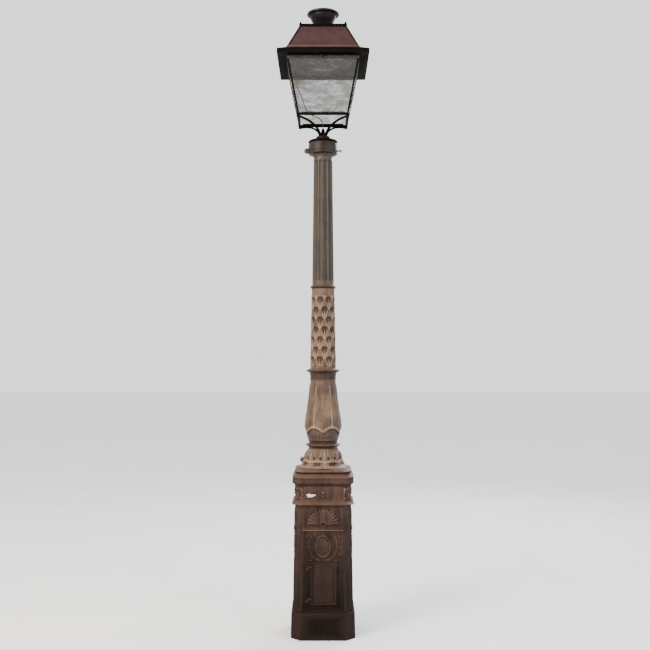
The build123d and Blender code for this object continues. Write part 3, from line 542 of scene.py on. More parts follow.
def quarter_turn(side):
    """The turn that takes the front to side 0, 1, 2 or 3; halves give the corners."""
    return Matrix.Rotation(side * math.pi / 2, 4, "Z")


def face_distance(height):
    """How far the pedestal's face is from the axis at a height."""
    return PEDESTAL_FOOT_WIDTH / 2 - FACE_SLOPE * (height - PEDESTAL_LOW)


def on_face(side, height):
    """The frame of a pedestal face at a height: X to the right, Y into the face and Z up it."""
    lean = Matrix.Rotation(-math.atan(FACE_SLOPE), 4, "X")
    return quarter_turn(side) @ Matrix.Translation((0, -face_distance(height), height)) @ lean


def oval_shield(name, wide, tall):
    """A crowned oval with a rolled rim; its flat back lies on the face."""
    profile = [(1.0, 0.0), (1.0, 5.0), (0.97, 8.5), (0.92, 9.5), (0.87, 8.5), (0.84, 5.0), (0.81, 4.0)]
    for angle in (0.0, 0.3, 0.6, 0.9, 1.2, 1.45):
        profile.append((0.7 * math.cos(angle), 6.0 + 7.0 * math.sin(angle)))
    around = 64
    rings, proud = [], []
    for share, height in profile:
        ring = []
        for i in range(around):
            angle = TURN * i / around
            ring.append((wide * share * math.cos(angle), -height, tall * share * math.sin(angle)))
            proud.append(0.2 if height < 5 else 0.8 if share > 0.8 else 0.55)
        rings.append(ring)
    return skin(name, rings, wrap=False, proud=proud)


def shell_crest(name, radius, lobes):
    """A ribbed fan, broad at its scalloped edge and gathered at its foot."""
    across, out, foot = lobes * 10, 14, 10
    rings, proud = [], []
    for row in range(out + 1):
        t = row / out
        front, back = [], []
        for i in range(across + 1):
            turn = math.pi * i / across
            rib = abs(math.sin(lobes * turn))
            edge = radius * (0.93 + 0.07 * rib)
            reach = foot + (edge - foot) * t
            height = (4 + 9 * math.sin(math.pi * min(t, 0.92))) * (0.55 + 0.45 * rib * fade(t, 0.05, 0.4))
            front.append((reach * math.cos(turn), -height, reach * math.sin(turn)))
            back.append((reach * math.cos(turn), 0.0, reach * math.sin(turn)))
            proud.append(0.4 + 0.45 * rib)
        rings.append(front + back[::-1])
        proud += [0.0] * (across + 1)
    return skin(name, rings, wrap=False, proud=proud)


def leaf(name, length, width, curl=6.0):
    """A lobed leaf lying along +Z on a face, with a raised midrib and a lifted tip."""
    along, across, lobes = 14, 10, 3
    rings, proud = [], []
    for row in range(along + 1):
        t = row / along
        swell = math.sin(math.pi * (0.06 + 0.94 * t) ** 0.75) * (1 + 0.22 * math.sin(TURN * lobes * t))
        half = max(width / 2 * swell, 0.8)
        lift = 3.0 + curl * t * t
        front, back = [], []
        for i in range(across + 1):
            u = 2 * i / across - 1
            rib = 1 - fade(abs(u), 0.0, 0.3)
            height = lift + 2.5 * rib - 2.0 * u * u + 0.8 * math.cos(9 * u + 5 * t)
            front.append((half * u, -height, length * t))
            back.append((half * u * 0.9, -max(0.0, lift - 5.0), length * t))
            proud.append(0.45 + 0.5 * rib)
        rings.append(front + back[::-1])
        proud += [0.05] * (across + 1)
    return skin(name, rings, wrap=False, proud=proud)


def moulded_ledge(name, half_width):
    """A small cornice of two rails across the face, with mitred ends."""
    outline = [(0, 0), (7, 0), (14, 4), (14, 8), (8, 10), (6, 13)]
    outline += [(6, 15), (11, 17), (11, 21), (5, 23), (0, 23)]
    rings, proud = [], []
    for x in (-half_width, -half_width + 5, half_width - 5, half_width):
        shrink = 0.55 if abs(x) == half_width else 1.0
        rings.append([(x, -out * shrink, up) for out, up in outline])
        proud += [out / 14 for out, up in outline]
    return skin(name, rings, wrap=False, proud=proud)


def lying(mesh, x, z, degrees=0.0, mirror=False):
    """A mesh moved over a face and turned about the face's normal."""
    move = Matrix.Translation((x, 0, z)) @ Matrix.Rotation(math.radians(degrees), 4, "Y")
    if mirror:
        move = Matrix.Scale(-1, 4, (1, 0, 0)) @ move
    moved = placed(mesh, move)
    if mirror:
        moved.flip_normals()
    return moved


def face_ornament():
    """Shell crest over a ledge, and an oval shield between two sprays of leaves. The leaves are
    listed one by one, each with its foot across and up from the ledge and its turn."""
    spray = ((14, -170, 72), (42, -160, 52), (64, -138, 30), (76, -110, 14), (82, -80, -4), (78, -54, -22))
    buds = ((60, -168, 100), (90, -140, 60), (98, -104, 40), (94, -42, 10), (60, -30, -50))
    parts = [lying(oval_shield("shield", 46, 66), 0, -88), moulded_ledge("ledge", 118)]
    parts.append(lying(shell_crest("shell", 92, lobes=13), 0, 38))
    pearl = rosette("pearl", 6.5, 5)
    for i in range(-6, 7):
        parts.append(lying(pearl, 17 * i, 30))
    for mirror in (False, True):
        for mesh, places in ((leaf("spray leaf", 44, 24), spray), (leaf("bud leaf", 30, 17, curl=4.0), buds)):
            for x, z, turn in places:
                parts.append(lying(mesh, x, z, turn, mirror))
    flat = Matrix.Scale(RELIEF_DEPTH, 4, (0, 1, 0))
    return placed(joined("face ornament", parts), flat)


def crest_reliefs():
    ornament = face_ornament()
    sides = [placed(ornament, on_face(side, CREST_Z)) for side in range(4)]
    piece(joined("crest_castings", sides), PEDESTAL_RELIEF, "post", ("crest_reliefs",))


def pedestal_beads():
    """Round beads up both edges of each face, a flatter one up each cut corner, and a framed
    panel on each face that has no door."""
    beads = []
    for side in range(4):
        for edge in (-1, 1):
            ends = []
            for height in (PEDESTAL_LOW + 10, PEDESTAL_HIGH - 8):
                out = face_distance(height)
                spot = Vector((edge * (out - PEDESTAL_LEG - 6), 1.5 - out, height))
                ends.append(quarter_turn(side) @ spot)
            beads.append(bar_between("bead", *ends, 4.0))
    for side in range(4):
        ends = []
        for height in (PEDESTAL_LOW + 30, PEDESTAL_HIGH - 30):
            out = (2 * face_distance(height) - PEDESTAL_LEG) / math.sqrt(2) - 4
            ends.append(quarter_turn(side + 0.5) @ Vector((0, -out, height)))
        beads.append(bar_between("corner bead", *ends, 9.0, flat=0.8))
    for side in (1, 2, 3):
        frame_bars = panel_frame(DOOR_HALF_WIDTH, DOOR_HALF_HEIGHT, 4.5)
        beads += [placed(bar, on_face(side, DOOR_MIDDLE)) for bar in frame_bars]
    piece(joined("pedestal_beads", beads), PEDESTAL_RELIEF, "post")


def panel_frame(half_width, half_height, radius):
    """Four mitred beads round a rectangle on a face."""
    wide, tall = half_width, half_height
    corners = [(-wide, -tall), (wide, -tall), (wide, tall), (-wide, tall)]
    bars = []
    for (x0, z0), (x1, z1) in zip(corners, corners[1:] + corners[:1]):
        bars.append(bar_between("bead", (x0, 0, z0), (x1, 0, z1), radius))
    return bars


def door_mouldings():
    """A raised rim on the door and a smaller bead inside it."""
    parts = panel_frame(DOOR_HALF_WIDTH - 4, DOOR_HALF_HEIGHT - 4, 3.4)
    parts += panel_frame(DOOR_HALF_WIDTH - 22, DOOR_HALF_HEIGHT - 22, 2.4)
    mesh = placed(joined("door_mouldings", parts), on_face(0, DOOR_MIDDLE))
    mesh.name = "door_mouldings"
    piece(mesh, PEDESTAL_RELIEF, "door")


def frieze():
    """Knife-edged moulding with a hollow over it, and the plain band that carries the consoles."""
    low, high = foot_and_top("frieze")
    profile = [(low, 340), (low + 2, 353), (low + 5, 361), (low + 9, 364), (low + 10, 363.5), (low + 11, 361)]
    profile += smooth_through([(low + 12, 357), (low + 17, 347), (low + 24, 338), (low + 33, 331)], 4)
    profile += [(low + 34, BAND_WIDTH), (high, BAND_WIDTH)]
    mesh = cut_corner_body("frieze_casting", profile, 260)
    piece(mesh, MOULDING_IRON, "post", ("frieze",), ease=0.8)


def rosette(name, radius, petals=8):
    """A turned button with petals."""
    profile = [(1.0, 0.0), (1.0, 3.0), (0.9, 5.5), (0.7, 6.5)]
    profile += [(0.5, 4.5), (0.36, 4.5), (0.3, 8.0), (0.12, 9.5)]
    rings, proud = [], []
    around = petals * 8
    for share, height in profile:
        ring = []
        for i in range(around):
            angle = TURN * i / around
            petal = 1 - 0.14 * fade(share, 0.4, 0.8) * abs(math.sin(petals / 2 * angle))
            reach = radius * share * petal
            ring.append((reach * math.cos(angle), -height, reach * math.sin(angle)))
            proud.append(0.3 + height / 14)
        rings.append(ring)
    return skin(name, rings, wrap=False, proud=proud)


def frieze_ornament():
    """A small upright cartouche on each side of the band: a petalled button over a round boss."""
    low, high = foot_and_top("frieze")
    middle = (low + 34 + high) / 2
    button, boss = lying(rosette("rosette", 15), 0, 8), lying(rosette("boss", 10, 6), 0, -15)
    group = joined("frieze group", [button, boss])
    on_band = Matrix.Translation((0, -BAND_WIDTH / 2, middle))
    sides = [placed(group, quarter_turn(side) @ on_band) for side in range(4)]
    piece(joined("frieze_cartouches", sides), MOULDING_RELIEF, "post")


def paint_chip():
    """A flake of paint has come off the front of the band and shows the pale primer under it."""
    low = foot_and_top("frieze")[0]
    around = 28
    rings = []
    for out in (-0.4, 0.25):
        ring = []
        for i in range(around):
            a = TURN * i / around
            reach = 1 + 0.16 * math.sin(3 * a + 1.0) + 0.1 * math.sin(5 * a)
            notch = 5 * math.exp(-((math.cos(a) - 0.15) ** 2) * 9) * (math.sin(a) > 0)
            across, up = 25 * reach * math.cos(a), 10 * reach * math.sin(a) - notch
            ring.append((across - 72, -BAND_WIDTH / 2 - out, up + low + 60))
        rings.append(ring)
    piece(skin("bare_primer_patch", rings, wrap=False), PRIMER, "post")


def scroll_console(name, width, tall, deep):
    """A bracket whose side is an S: a large roll at its head, a small one at its foot."""
    foot_roll, head_roll = deep * 0.36, deep * 0.52
    neck = tall - 2 * foot_roll - 2 * head_roll - 4
    outline = [(0.0, 0.0)]
    for i in range(9):
        angle = -math.pi / 2 + math.pi * i / 8
        outline.append((foot_roll * (1 + math.cos(angle)) * 0.6 + 3, foot_roll * (1 + math.sin(angle))))
    for i in range(7):
        t = i / 6
        outline.append((4 + deep * 0.55 * t * t, 2 * foot_roll + 2 + neck * t))
    for i in range(11):
        angle = -math.pi / 2 + math.pi * i / 10
        out, up = deep - head_roll * (1 - math.cos(angle)), tall - 2 - head_roll * (1 - math.sin(angle))
        outline.append((out, up))
    outline += [(deep * 0.4, tall), (0.0, tall)]
    rings, proud = [], []
    last = 24
    for i in range(last + 1):
        groove = 1 - 0.22 * abs(math.sin(3 * math.pi * (i / last)))
        end = 0.82 if i in (0, last) else 1.0
        x = width * (i / last - 0.5)
        rings.append([(x, -out * groove * end, up) for out, up in outline])
        proud += [0.25 + 0.7 * (groove - 0.78) / 0.22] * len(outline)
    return skin(name, rings, wrap=False, proud=proud)


def consoles():
    """A scroll bracket with a hanging leaf on each cut corner of the band."""
    low, high = foot_and_top("consoles")
    face = (BAND_WIDTH - PEDESTAL_LEG) / math.sqrt(2)
    bracket = scroll_console("console", 56, high - low, 17.0)
    drop = lying(leaf("console leaf", 40, 26, curl=3.0), 0, 46, 180)
    group = joined("console group", [bracket, placed(drop, Matrix.Translation((0, -8, 0)))])
    on_corner = Matrix.Translation((0, -face, low))
    corners = [placed(group, quarter_turn(side + 0.5) @ on_corner) for side in range(4)]
    piece(joined("scroll_consoles", corners), MOULDING_RELIEF, "post", ("consoles",))


def cornice():
    """A hollow, an upright face with a raised line along it, and a weathered top."""
    low, high = foot_and_top("cornice")
    profile = [(low, BAND_WIDTH), (low + 2, 329)] + cove_between(low + 2, 329, low + 22, 353)
    profile += [(low + 23, 357), (low + 33, 357), (low + 34, 360), (low + 40, 360)]
    profile += [(low + 41, 356), (low + 52, 356), (low + 53, 360), (low + 60, 360)]
    profile += [(low + 62, 357), (low + 68, 343), (low + 74, 332), (high, 318)]
    mesh = cut_corner_body("cornice_casting", profile, TUBE_HOLE)
    piece(mesh, MOULDING_IRON, "post", ("cornice",), ease=0.8)


def torus():
    """A cushion with cut corners: a round edge, a sloping top and a narrower foot."""
    low, high = foot_and_top("torus")
    profile = [(low, 308), (low + 3, 322), (low + 7, 332), (low + 11, 336), (low + 15, 334), (low + 19, 325)]
    profile += [(low + 24, 303), (high, 272)]
    mesh = cut_corner_body("torus_casting", profile, TUBE_HOLE)
    piece(mesh, MOULDING_IRON, "post", ("torus",), ease=3.0)


# ---- Column ----
BELL_CURVE = (
    (991, 148), (996, 139), (1002, 130), (1014, 122), (1030, 117), (1056, 110), (1074, 104), (1088, 92),
    (1098, 86),
)


def bell_leaves(angle, height):
    """Eight broad leaves hang over the bell: fine ribs at the top, a pierced eye each side of the
    midrib, a rolled lip, and hollows under it between the tips."""
    u = (math.degrees(angle) - 5) / 45
    u -= round(u)
    side = abs(u)
    ribbed = fade(height, 1040, 1060) * math.cos(TURN * 4 * u)
    eye = math.hypot((side - 0.27) / 0.1, (height - 1043) / 11)
    eye = 1 - fade(eye, 0.55, 1.1)
    lip_height = 1030 - 12 * math.cos(math.pi * u) + 6
    lip = 1 - fade(abs(height - lip_height), 2.0, 8.0)
    midrib = (1 - fade(side, 0.02, 0.08)) * (1 - fade(height, 1070, 1085))
    gap = fade(side, 0.2, 0.36) * (1 - fade(abs(height - 1010), 5.0, 10.0))
    seam = fade(side, 0.45, 0.49) * fade(height, 1030, 1040) * (1 - fade(height, 1076, 1090))
    tips = 0.8 * math.cos(TURN * 5 * u) * (1 - fade(height, 1002, 1014))
    rise = 1.6 * ribbed - 7.0 * eye + 3.2 * lip + 2.0 * midrib - 8.0 * gap - 4.0 * seam + tips
    share = 0.6 + 0.2 * ribbed - 0.6 * eye + 0.35 * lip + 0.2 * midrib - 0.6 * gap - 0.5 * seam + 0.1 * tips
    return rise, min(1.0, max(0.0, share))


def curled_tip():
    """The tip of one leaf that curls up clear of the bell, on the left; its path is (out, height)."""
    path = ((92, 1012), (104, 1020), (114, 1031), (123, 1039), (130, 1036), (130, 1025), (122, 1019))
    spine = smooth_through(path, 5)
    rings, proud = [], []
    for i, (out, height) in enumerate(spine):
        t = i / (len(spine) - 1)
        half, thick = 24 * (1 - 0.35 * t), 11 - 4 * t
        ahead = spine[min(i + 1, len(spine) - 1)]
        behind = spine[max(i - 1, 0)]
        run = Vector((ahead[0] - behind[0], ahead[1] - behind[1])).normalized()
        ring = []
        for step in range(20):
            angle = TURN * step / 20
            side = half * math.cos(angle)
            lift = thick * math.sin(angle) * (1 - 0.35 * math.cos(angle) ** 2)
            ring.append((-(out - run.y * lift), side, height + run.x * lift))
            proud.append(0.5 + 0.5 * math.sin(angle))
        rings.append(ring)
    return skin("curled tip", rings, wrap=False, proud=proud)


def leaf_bell():
    """The bell of hanging leaves, with its one curled tip."""
    rows = [(z, radius_at(BELL_CURVE, z)) for z in even_rows(BELL_CURVE[0][0], BELL_CURVE[-1][0], 2.6)]
    bell = turned("bell", rows, around=288, relief=bell_leaves)
    mesh = joined("leaf_bell_casting", [bell, curled_tip()])
    piece(mesh, COLUMN_RELIEF, "post", ("leaf_bell",))


def neck_ring():
    """A thin round-edged flange with a hollow over it."""
    low, high = foot_and_top("neck_ring")
    profile = [(low, 86), (low + 8, 87), (low + 14, 93)] + bead_between(low + 16, low + 28, 94, 9, 10)
    profile += [(low + 29, 92), (low + 31, 87)] + cove_between(low + 31, 84, high, 88)
    piece(turned("neck_ring_casting", profile), RING_IRON, "post", ("neck_ring",))


BALUSTER_LOW, BALUSTER_HIGH = 1145.0, 1505.0
BALUSTER_CURVE = smooth_through(
    (
        (BALUSTER_LOW, 86), (1152, 93), (1163, 98.5), (1181, 105), (1200, 108), (1218, 108.5), (1254, 107),
        (1290, 103), (1325, 97), (1362, 92.5), (1397, 86.5), (1433, 83), (1469, 79.5), (BALUSTER_HIGH, 77),
    ),
    5,
)
CALYX_LEAVES = 6


def water_leaves(angle, height):
    """Long leaves that rise from a scalloped lip, each with a midrib, over a plain cup."""
    u = (math.degrees(angle) - 30) * CALYX_LEAVES / 360
    u -= round(u)
    lip = 1190 + 32 * math.cos(math.pi * u) ** 0.8
    above = fade(height, lip - 3, lip + 2)
    v = (height - lip) / (1500 - lip)
    lip_roll = 3.5 * above * (1 - fade(height, lip + 4, lip + 26))
    leaf_half = 0.43 * (1 - fade(v, 0.15, 1.05)) + 0.03
    on_leaf = (1 - fade(abs(u), leaf_half - 0.03, leaf_half + 0.03)) * above * (1 - fade(v, 0.93, 1.0))
    middle = (1 - fade(abs(u), 0.0, 0.075 + 0.03 * v)) * above * (1 - fade(v, 0.86, 0.96))
    between = (1 - fade(0.5 - abs(u), 0.0, 0.07)) * above * fade(v, 0.02, 0.12) * (1 - fade(v, 0.9, 0.98))
    veins = math.cos(TURN * (9 * abs(u) - 1.2 * v)) * above * (1 - fade(v, 0.8, 1.0))
    cup = (1 - above) * (1.2 * math.cos(TURN * 5 * u) - 5.0)
    rise = cup + lip_roll + 1.6 * on_leaf + 2.6 * middle + 1.6 * between + 0.5 * veins - 2.4
    share = 0.2 + 0.25 * above + 0.15 * on_leaf + 0.3 * max(middle, between) + 0.1 * lip_roll + 0.08 * veins
    from_foot, from_top = height - BALUSTER_LOW, BALUSTER_HIGH - height
    return rise * fade(from_foot, 0, 15) * fade(from_top, 0, 9), share


def baluster():
    rows = [(z, radius_at(BALUSTER_CURVE, z)) for z in even_rows(BALUSTER_LOW, BALUSTER_HIGH, 3.0)]
    mesh = turned("baluster_casting", rows, around=300, relief=water_leaves)
    piece(mesh, COLUMN_RELIEF, "post", ("baluster",))


def baluster_ring():
    """A plain neck that sweeps out to a thin, almost sharp flange."""
    low, high = foot_and_top("baluster_ring")
    profile = [(low, 77), (low + 3, 79), (low + 5, 79), (low + 6, 76.5), (low + 30, 77.5)]
    profile += cove_between(low + 30, 78, low + 51, 93) + [(low + 52, 96.5)]
    profile += bead_between(low + 53, low + 62, 96, 3, 8) + [(low + 63, 92), (low + 67, 84), (high, 80)]
    piece(turned("baluster_ring_casting", profile), RING_IRON, "post", ("baluster_ring",))


LEAF_SHAFT_RADII = (75.5, 66.5)
SCALE_COLUMNS = 8
SCALE_TALL = 118.0
SCALE_WIDE = 55.0
SCALE_HALF = 22.0
SCALE_ARCH_FOOT = 5.0
SCALE_POINT = 46.0
SCALE_MIDDLE = 1977.0
SCALE_TURN = -15.0


def cell_depth(side, above):
    """How far a point lies inside a leaf cell, in millimetres: a round arch over a long point."""
    if above > SCALE_ARCH_FOOT:
        return SCALE_HALF - math.hypot(side, above - SCALE_ARCH_FOOT)
    reach = SCALE_ARCH_FOOT + SCALE_POINT
    half = SCALE_HALF * (above + SCALE_POINT) / reach
    return (half - abs(side)) * reach / math.hypot(reach, SCALE_HALF)


def leaf_scales(angle, height):
    """Staggered leaf cells: each is hollow under a round arch, holds a spear-shaped bud and runs
    down to a point, with a raised rim that is sharpest along the point."""
    across = (math.degrees(angle) - SCALE_TURN) * SCALE_COLUMNS / 360
    up = (height - SCALE_MIDDLE) / SCALE_TALL
    best = (-99.0, 0.0, 0.0)
    for shift in (0.0, 0.5):
        side = (across + shift - round(across + shift)) * SCALE_WIDE
        rise = (up + shift - round(up + shift)) * SCALE_TALL
        for lift in (-SCALE_TALL, 0.0, SCALE_TALL):
            best = max(best, (cell_depth(side, rise + lift), side, rise + lift))
    inside, side, above = best
    low_half = 1 - fade(above, -26, 4)
    rim = 1 - fade(abs(inside + 0.5), 1.2, 4.2)
    hollow = fade(inside, 1.0, 8.0) * (1 - 0.55 * low_half)
    bud_half = 5.0 * max(0.02, 1 - ((above + 13) / 27) ** 2)
    bud = (1 - fade(abs(side), 0.3 * bud_half, bud_half)) * fade(above, -40, -30) * (1 - fade(above, 8, 14))
    stem = 0.0
    if above < -30:
        stem = (1 - fade(abs(side), 2.0, 6.0)) * fade(inside, -14, -5) * (1 - fade(inside, -4, -1))
    relief = (1.2 + 1.4 * low_half) * rim - 7.0 * hollow + 6.0 * bud + 1.5 * stem
    share = 0.55 + (0.15 + 0.3 * low_half) * rim - 0.55 * hollow + 0.75 * bud + 0.15 * stem
    ribs = 0.8 * math.cos(4 * TURN * across) * fade(height, 2004, 2018)
    span = fade(height, 1578, 1592) * (1 - fade(height, 2006, 2016))
    return relief * span + ribs, 0.55 + (share - 0.55) * span + 0.2 * ribs


def tapered(heights, low, high, radii):
    """The (height, radius) points of a straight taper between two heights."""
    return [(z, radii[0] + (radii[1] - radii[0]) * (z - low) / (high - low)) for z in heights]


def leaf_shaft():
    low, high = foot_and_top("leaf_shaft")
    rows = tapered(even_rows(low, high, 3.0), low, high, LEAF_SHAFT_RADII)
    mesh = turned("leaf_shaft_casting", rows, around=320, relief=leaf_scales)
    piece(mesh, COLUMN_RELIEF, "post", ("leaf_shaft",))


def shaft_ring():
    """A half-round bead between two small steps."""
    low, high = foot_and_top("shaft_ring")
    profile = [(low, 68), (low + 2, 70), (low + 3, 72)] + bead_between(low + 4, low + 16, 71, 6, 12)
    profile += [(low + 17, 70), (low + 20, 68), (high, 66)]
    piece(turned("shaft_ring_casting", profile), RING_IRON, "post", ("shaft_ring",))


FLUTES = 12
FLUTE_HALF = 0.41
FLUTE_DEPTH = 6.5
FLUTED_RADII = (64.5, 55.5)
FLUTED_LOW, FLUTED_HIGH = foot_and_top("fluted_shaft")


def flutes(angle, height):
    """Half-round flutes with round ends, and narrow fillets between them."""
    spot = (math.degrees(angle) / 360 * FLUTES) % 1 - 0.5
    across = abs(spot) / FLUTE_HALF
    from_end = min(height - (FLUTED_LOW + 20), (FLUTED_HIGH - 38) - height)
    end = max(0.0, 12 - from_end) / 12 if from_end < 12 else 0.0
    depth = math.sqrt(max(0.0, 1 - across**2 - end**2))
    return -FLUTE_DEPTH * depth, 0.75 - 0.6 * depth


def fluted_shaft():
    """The fluted taper under a small spreading neck; its rows lie close at the flutes' ends."""
    low, high = FLUTED_LOW, FLUTED_HIGH
    top = high - 15
    rows = even_rows(low, low + 44, 2.2) + even_rows(low + 46, top - 46, 24) + even_rows(top - 44, top, 2.2)
    profile = tapered(rows, low, top, FLUTED_RADII)
    profile += [(top + 0.5, 58), (top + 3, 60)] + cove_between(top + 3, 60, top + 9, 66) + [(high, 66)]
    mesh = turned("fluted_shaft_casting", profile, around=288, relief=flutes)
    piece(mesh, SHAFT_RELIEF, "post", ("fluted_shaft",))


# ---- Lantern carrier ----
LUG_Z = 2878.0


def clamp_collar():
    """A machined collar with eased edges and a shallow groove, and the block that takes its bolt."""
    low, high = foot_and_top("clamp_collar")
    profile = [(low, 80), (low + 1, 83), (low + 4, 86), (low + 14, 86), (low + 15, 84.5), (low + 18, 84.5)]
    profile += [(low + 19, 86), (high - 10, 86), (high - 7, 85), (high - 3, 84), (high, 81)]
    ring = turned("collar ring", profile, bore=38.5)
    left = low_high("clamp_collar")[0].x
    section = ((-14, -13), (14, -13), (14, 13), (-14, 13))
    rings = []
    for shift, grow in ((0, 0.8), (3, 1.0), (30, 1.15)):
        rings.append([(left + shift, y * grow, LUG_Z + z * grow) for y, z in section])
    mesh = joined("clamp_collar_casting", [ring, skin("collar lug", rings, wrap=False, sharp=25)])
    piece(mesh, SHAFT_IRON, "post", ("clamp_collar",), ease=0.6)


def lantern_spigot():
    """The domed black disc that caps the collar, and the red-brown hub that the arms stand on."""
    low, high = foot_and_top("lantern_spigot")
    disc = [(low, 84), (low + 2, 87), (low + 5, 87.5), (low + 9, 87), (low + 12, 84)]
    disc += smooth_through([(low + 12, 84), (low + 15, 76), (low + 18, 62), (low + 20, 47)], 5)
    hub = [(low + 20, 46), (low + 21, 43), (high - 8, 42), (high - 3, 40), (high, 34)]
    foot = turned("lantern_foot_casting", disc, bore=13)
    piece(foot, BLACK_STEEL, "post", ("lantern_spigot",))
    # The hub takes the darker red-brown sheet, painted shade.
    piece(turned("lantern_hub_casting", hub, bore=13), SHADED_FLUE_SHEET, "post")


def cable_gland():
    """A flanged gland that narrows like a finial to the cable."""
    low, high = foot_and_top("cable_gland")
    hub = high - 47
    profile = [(low, 12.5), (hub, 12.5), (hub + 1, 16), (hub + 9, 16), (hub + 10, 13), (hub + 22, 13)]
    profile += smooth_through([(hub + 22, 13), (hub + 32, 10.5), (high - 4, 7.5), (high, 5.5)], 5)
    mesh = turned("cable_gland_turned", profile, around=48, bore=3)
    piece(mesh, BLACK_STEEL, "post", ("cable_gland",))


ARM_SECTION = ((-6, -5), (6, -5), (6, 5), (-6, 5))
ARM_FOOT = 18.0


def support_arms():
    """Four wrought bars that rise from the hub, bend out and run flat to the frame's corners."""
    low, high = low_high("support_arms")
    reach, rise = high.x - 10 - ARM_FOOT, high.z - 7 - low.z
    outward, across = Vector((1, -1, 0)).normalized(), Vector((1, 1, 0)).normalized()
    steps = 26
    arms = []
    for side in range(4):
        rings = []
        for i in range(steps + 1):
            bend = math.pi / 2 * i / steps
            out = ARM_FOOT + reach * (1 - math.cos(bend))
            middle = Vector((out, -out, low.z + rise * math.sin(bend)))
            run = Vector((reach * math.sin(bend), rise * math.cos(bend))).normalized()
            face = outward * run.y - Vector((0, 0, run.x))
            rings.append([quarter_turn(side) @ (middle + across * x + face * y) for x, y in ARM_SECTION])
        arms.append(skin("arm", rings, wrap=False, sharp=30))
    mesh = joined("wrought_arms", arms)
    piece(mesh, BLACK_STEEL, "post", ("support_arms",), ease=1.2)


# ---- Lantern ----
EASED_PARTS = {
    2.0: ("plinth",),
    1.2: ("pedestal",),
    1.0: ("base_plate", "bottom_frame", "corner_bars", "roof_cornice", "ballast", "fuse_box", "fuse_box_lid"),
    0.8: ("access_door", "head_frame", "glazing_beads", "eave_tray", "equipment_board", "fuse_carrier"),
    0.6: ("lantern_terminal",),
    0.5: ("roof_latch", "roof_shell"),
    0.3: ("ceiling_plate", "gear_tray", "glass_panes"),
}


def eased_parts():
    """Small rounds, in millimetres, on the edges of the parts that are shown as they are."""
    for width, names in EASED_PARTS.items():
        for name in names:
            ease_edges(nodes[name], width)


def roof_hips():
    """Rolled hips over the roof's four seams, and a flat lap along its foot."""
    low, high = low_high("roof_shell")
    top_half = low_high("roof_cornice")[1].x - 5
    rolls = []
    laps = []
    for side in range(4):
        turn = quarter_turn(side)
        foot = turn @ Vector((high.x - 2, -high.x + 2, low.z))
        head = turn @ Vector((top_half, -top_half, high.z))
        rolls.append(bar_between("hip roll", foot, head, 5.0))
        ends = [turn @ Vector((x, -high.x + 1, low.z + 2)) for x in (-high.x + 4, high.x - 4)]
        laps.append(bar_between("lap", *ends, 7.0))
    piece(joined("roof_hips", rolls), BLACK_STEEL, "roof")
    # The lap takes the lighter paint: chalking and a painted highlight.
    piece(joined("roof_foot_lap", laps), CHALKED_AND_LIT_LAP, "roof")


def chimney():
    """A spun flue that stands on a flange and opens like a bowl under the cap."""
    low, high = foot_and_top("chimney_neck")
    bowl = [(low + 5, 49), (low + 22, 49), (low + 38, 54), (low + 54, 62), (low + 68, 70)]
    bowl += [(low + 82, 76), (high, 79)]
    profile = [(low, 54), (low + 3, 54), (low + 5, 50)] + smooth_through(bowl, 6)
    # The flue takes the darker red-brown sheet as painted shade under the cap.
    piece(turned("chimney_spun", profile, bore=42), SHADED_FLUE_SHEET, "roof", ("chimney_neck",))


def cap():
    """A spun cap with a rolled rim and a low crown."""
    low, high = foot_and_top("cap_disc")
    rim = low_high("cap_disc")[1].x
    crown = low + 8
    profile = [(low + 3, 20), (low + 1, rim - 12), (low, rim - 4), (low + 2, rim - 0.5), (low + 5, rim)]
    profile.append((crown, rim - 1))
    for angle in (0.15, 0.35, 0.6, 0.85, 1.1, 1.3, 1.45):
        profile.append((crown + (high - crown) * math.sin(angle), (rim - 1) * math.cos(angle)))
    profile.append((high, 1.0))
    piece(turned("cap_spun", profile, bore=0.5), CAP_SHEET, "roof", ("cap_disc",))


for make in (
    crest_reliefs, pedestal_beads, door_mouldings, frieze, frieze_ornament, paint_chip, consoles, cornice,
    torus, leaf_bell, neck_ring, baluster, baluster_ring, leaf_shaft, shaft_ring, fluted_shaft,
    clamp_collar, lantern_spigot, cable_gland, support_arms, eased_parts, roof_hips, chimney, cap,
):
    make()


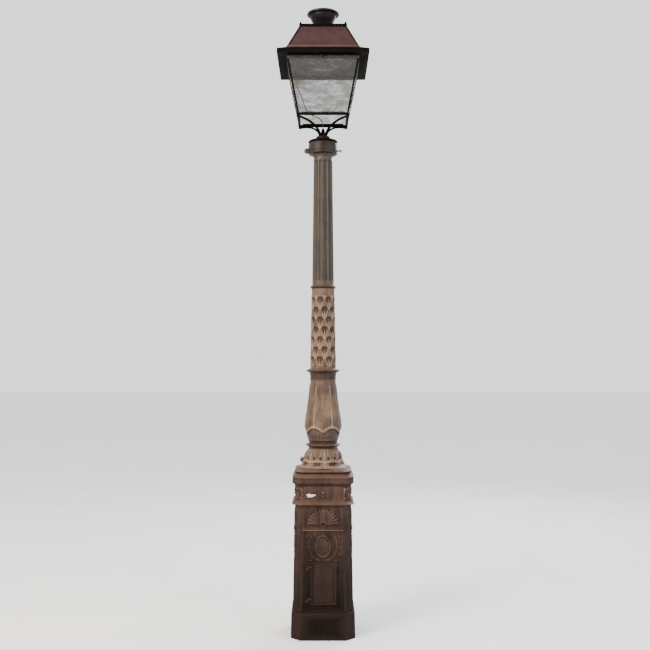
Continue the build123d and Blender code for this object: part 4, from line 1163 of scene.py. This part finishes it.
# ---- Camera, light and floor ----
def set_camera(distance_mm, eye_mm, lens_mm, rise, sideways):
    """A level camera in front of the post at a standing person's eye height."""
    data = bpy.data.cameras.new("camera")
    data.lens = lens_mm
    data.sensor_width = 36
    data.shift_x = sideways
    data.shift_y = rise
    camera = bpy.data.objects.new("camera", data)
    camera.location = (0, -distance_mm * MM, eye_mm * MM)
    camera.rotation_euler = (math.radians(90), 0, 0)
    bpy.context.collection.objects.link(camera)
    bpy.context.scene.camera = camera


def area_light(name, place, aim, size, power, colour):
    data = bpy.data.lights.new(name, "AREA")
    data.shape = "DISK"
    data.size = size
    data.energy = power
    data.color = linear(colour)[:3]
    lamp = bpy.data.objects.new(name, data)
    lamp.location = place
    lamp.rotation_euler = (Vector(aim) - Vector(place)).to_track_quat("-Z", "Y").to_euler()
    bpy.context.collection.objects.link(lamp)


def floor():
    mesh = bpy.data.meshes.new("floor")
    reach = 40.0
    corners = [(-reach, -reach, 0), (reach, -reach, 0), (reach, reach, 0), (-reach, reach, 0)]
    mesh.from_pydata(corners, [], [(0, 1, 2, 3)])
    material, tree, place = blank("pale studio floor")
    cloud = add(tree, "TexNoise", {"Vector": place, "Scale": 1.5})
    tone = add(tree, "ValToRGB", {"Fac": cloud.outputs["Fac"]}, stops=((0.3, "#e9e8e5"), (0.7, "#efeeec")))
    finish_with(tree, add(tree, "BsdfPrincipled", {"Base Color": tone.outputs[0], "Roughness": 0.9}))
    mesh.materials.append(material)
    obj = bpy.data.objects.new("floor", mesh)
    bpy.context.collection.objects.link(obj)


def pale_surroundings():
    world = bpy.data.worlds.new("studio")
    world.use_nodes = True
    sky = world.node_tree.nodes["Background"]
    sky.inputs["Color"].default_value = linear("#f2f4f6")
    sky.inputs["Strength"].default_value = 1.8
    bpy.context.scene.world = world


set_camera(distance_mm=5520, eye_mm=1632, lens_mm=51, rise=0.0523, sideways=0.003)
area_light("key", (-4.5, -4.5, 5.0), (0, 0, 1.9), 3.0, 900, "#fff0de")
area_light("fill", (5.0, -4.0, 3.0), (0, 0, 1.8), 3.5, 230, "#e6eeff")
area_light("rim", (2.5, 4.5, 4.5), (0, 0, 2.2), 2.5, 260, "#f4f7ff")
floor()
pale_surroundings()
